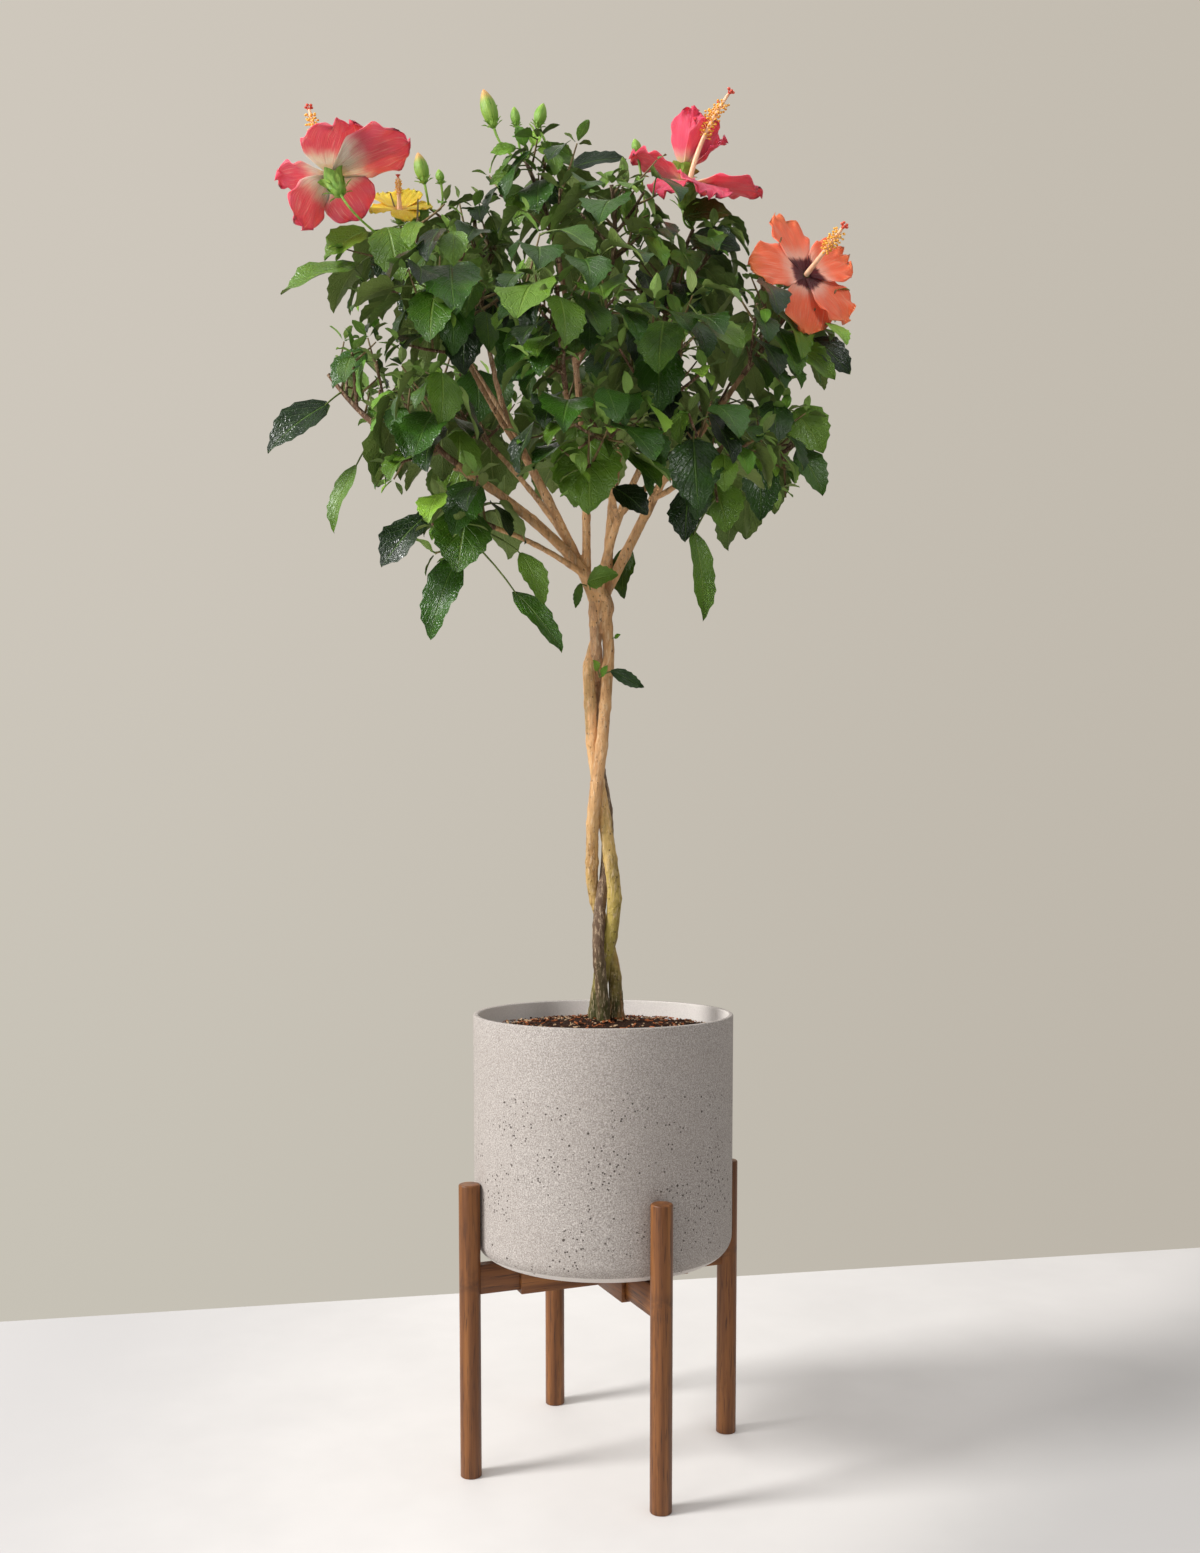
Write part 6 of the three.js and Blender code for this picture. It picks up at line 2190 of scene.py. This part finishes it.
def lay_stalk(mass, foot, axis):
    """A bowed stalk from the nearest twig to a flower's or bud's foot."""
    end = foot - axis * 2
    start = nearest_on_twigs(grown[mass][0], end)
    control = end - axis * min(STALK_BEND, (end - start).length * 0.8)
    radii = [1.5 - 0.3 * math.sin(math.pi * i / 8) for i in range(9)]
    greens.tube(bowed_line(start, control, end, 8), radii, 6)


for order, flower in enumerate(FLOWERS.values()):
    chance = random_stream(FLOWER_SEED + order)
    axis = Vector(flower.axis).normalized()
    for petal in flower.petals:
        lay_petal(flower, petal, chance)
    lay_column(flower, axis, chance)
    length, radius = flower.calyx
    calyx_foot = Vector(flower.middle) - axis * length
    lay_calyx(calyx_foot, axis, radius * LOBE_SWELL, length * LOBE_REACH, FLOWER_FLARE, chance)
    lay_stalk(flower.mass, calyx_foot, axis)
print("flowers", len(FLOWERS), "with", len(petals.tones), "petals")


# %% [markdown]
# Buds
#
# A bud is a smooth pointed oval, its petals wrapped in five calyx lobes, on a thin stalk with a
# whorl of bracts. The oval is built ring by ring from one profile, like the pot, and laid along
# each bud's direction.

# %% Bud shape
BUD_PROFILE = [
    (0.30, 0.0), (0.62, 0.07), (0.86, 0.18), (0.99, 0.32), (1.0, 0.45), (0.90, 0.60),
    (0.70, 0.74), (0.46, 0.86), (0.24, 0.95), (0.06, 1.0),
]
BUD_SIDES = 20
BUD_RIDGE = 0.07
BUD_TWIST = 2.5
BUD_LOBES = (0.8, 0.5)
BUD_SEED = 500


def lay_bud(bud, chance):
    foot, tip = Vector(bud.foot), Vector(bud.tip)
    axis = (tip - foot).normalized()
    own_frame = frame_line([foot, tip])[0]
    corners, places = [], []
    for share, height in BUD_PROFILE:
        for k in range(BUD_SIDES):
            angle = 2 * math.pi * k / BUD_SIDES
            ridge = 1 + BUD_RIDGE * math.cos(LOBES * angle + BUD_TWIST * height)
            radius = share * bud.radius * ridge
            corners.append(foot.lerp(tip, height) + spoke(own_frame, angle) * radius)
            places.append((height, k / BUD_SIDES))
    faces = ring_faces(len(BUD_PROFILE), BUD_SIDES)
    greens.take(corners, faces, places, [1 + bud.material] * len(faces))
    radius, length = bud.radius * BUD_LOBES[0], (tip - foot).length * BUD_LOBES[1]
    lay_calyx(foot, axis, radius, length, BUD_FLARE, chance)
    lay_stalk(bud.mass, foot, axis)


for order, bud in enumerate((*BUDS.values(), *SMALL_BUDS.values())):
    lay_bud(bud, random_stream(BUD_SEED + order))


def bud_material(name, green, tip):
    material, shader, place, own_map = start_material(name, 0.35)
    streak = own_map.placed((1.5, 30.0, 1.0)).noise(1.0, 3.0, 0.6)
    rise = (own_map.part(0) + streak * 0.3 - 0.15).between(0.55, 0.98)
    colour = rise.blend(streak.ramp((0.3, green[0]), (0.7, green[1])), tip)
    feed(shader, Base_Color=colour, Normal=streak.bump(0.0006), Roughness=streak * 0.2 + 0.4)
    return material


# %% Gather the plant's pieces
STREAKED_FINISHES = {
    "calyx_green": ((96, 142, 46), (156, 188, 84), 0.5),
    "stalk_green": ((74, 92, 40), (116, 132, 64), 0.5),
    "shoot_bark": ((88, 72, 44), (138, 116, 74), 0.6),
    "column_pale": ((238, 178, 140), (250, 214, 176), 0.45),
    "filament": ((236, 190, 120), (250, 220, 150), 0.5),
    "anther": ((236, 152, 42), (252, 204, 92), 0.7),
    "pad": ((206, 60, 50), (236, 112, 84), 0.5),
}
calyx_green, stalk_green, shoot_bark, *column_finishes = (
    streaked_material(name, *row) for name, row in STREAKED_FINISHES.items()
)
bud_finishes = [
    bud_material("bud_green", ((96, 142, 50), (142, 178, 74)), (150, 186, 76)),
    bud_material("bud_tinted", ((96, 142, 50), (150, 178, 70)), (226, 170, 110)),
]
foliage_nodes = [f"foliage_{name}" for name in MASSES]
under_of = {"dark": "under", "mid": "under", "fresh": "fresh_under"}
for kind, gathered in leaf_pieces.items():
    piece = gathered.mesh(f"leaves_{kind}")
    finishes = [leaf_kinds[kind], leaf_kinds[under_of[kind]]]
    nodes = foliage_nodes if kind == "dark" else []
    finish(piece, finishes, "foliage", *nodes, smooth_angle=60)
finish(petioles.mesh("leaf_stalks"), [stalk_green], "foliage", smooth_angle=80)
twig_barks = [bark_kinds["twig"], shoot_bark]
finish(twig_piece.mesh("twigs"), twig_barks, "foliage", smooth_angle=80)
petal_piece = petals.mesh("petals")
apply_modifier(petal_piece, "SOLIDIFY", thickness=0.6 * MM, offset=0)
finish(petal_piece, petal_kinds, "foliage", smooth_angle=180)
finish(columns.mesh("flower_columns"), column_finishes, "foliage", smooth_angle=80)
green_finishes = [calyx_green, *bud_finishes]
finish(greens.mesh("buds_and_calyxes"), green_finishes, "foliage", smooth_angle=60)


# %% [markdown]
# Floor and light
#
# A pale floor runs out in front and to the sides and stops behind the stand, where the plain
# warm grey of the world takes over. Its colour holds painted shade: it is greyer at the left, to
# even out the key lamp's brighter pool there, and at the near right, where the light falls off.
# The light is one large soft lamp from the left and a little in front, as the shadows of the legs
# show. A weaker one fills the front, a faint one behind gives the rims a soft edge, and a small
# narrow one from the right reaches only the crown and its orange flower. The rest of the room is
# dim, with more light from above.

# %% Floor
FLOOR_CORNERS = [(-4.2, -4.5), (4.2, -4.5), (-4.2, -0.23), (4.2, 1.46)]


def floor_material():
    material, shader, place, _ = start_material("pale_floor", 0.2)
    grain = place.noise(7.0, 3.0, 0.6)
    rightwards = place.part(0) + grain * 0.1 - 0.05
    near_right = rightwards - place.part(1) * 0.8
    middle = grain.ramp((0.3, (223, 220, 217)), (0.7, (228, 225, 222)))
    # Painted shade: the floor is blended to a darker grey at the left, to even out the key lamp's
    # pool, and at the near right, where the light falls off.
    colour = rightwards.between(-0.75, -0.1).blend((196, 194, 193), middle)
    colour = near_right.between(0.32, 0.62).blend(colour, (196, 194, 192))
    feed(shader, Base_Color=colour, Roughness=grain * 0.1 + 0.75)
    return material


bpy.ops.object.select_all(action="DESELECT")
bpy.ops.mesh.primitive_plane_add(size=1)
floor = bpy.context.object
floor.name = "floor"
for vertex, (x, y) in zip(floor.data.vertices, FLOOR_CORNERS):
    vertex.co = (x, y, 0)
floor.data.materials.append(floor_material())
print("floor corners", FLOOR_CORNERS)


# %% Light
DAYLIGHT = (1.0, 0.99, 0.98)


def soft_lamp(name, place, target, size, power, colour=DAYLIGHT, spread=180):
    lamp_data = bpy.data.lights.new(name, "AREA")
    lamp_data.shape = "DISK"
    lamp_data.size = size
    lamp_data.energy = power
    lamp_data.color = colour
    lamp_data.spread = math.radians(spread)
    lamp = add_object(name, lamp_data)
    lamp.location = place
    lamp.rotation_euler = (Vector(target) - Vector(place)).to_track_quat("-Z", "Y").to_euler()
    print(name, "lamp", power, "W")


soft_lamp("key", (-4.0, -1.45, 3.3), (0, 0, 0.9), 1.5, 276)
soft_lamp("fill", (-2.2, -2.8, 1.2), (0, 0, 0.9), 2.0, 26)
soft_lamp("back", (-0.6, 2.4, 2.4), (0, 0, 1.1), 1.6, 8, (1.0, 0.99, 0.97))
soft_lamp("crown", (1.5, -2.4, 2.6), (0.12, 0, 1.32), 0.8, 1.2, spread=34)


# %% The room
def studio_world():
    """The wall's warm grey behind the plant, paler to the left, and a dim neutral room around."""
    world = bpy.data.worlds.new("studio")
    world.use_nodes = True
    tree = world.node_tree
    coordinates = tree.nodes.new("ShaderNodeTexCoord")
    direction = Shade(tree, coordinates.outputs["Generated"])
    rightwards = direction.part(0).between(-0.5, 0.5)
    high_wall = rightwards.blend((207, 200, 189), (194, 187, 175))
    low_wall = rightwards.blend((199, 194, 182), (188, 181, 169))
    wall = direction.part(2).between(-0.35, 0.45).blend(low_wall, high_wall)
    behind = direction.part(1).between(0.3, 0.75)
    room = direction.part(2).between(-0.1, 0.9).blend((52, 51, 52), (226, 225, 226))
    colour = behind.blend(room, wall)
    tree.links.new(colour.socket, tree.nodes["Background"].inputs["Color"])
    return world


bpy.context.scene.world = studio_world()
bpy.context.scene.view_settings.view_transform = "Standard"
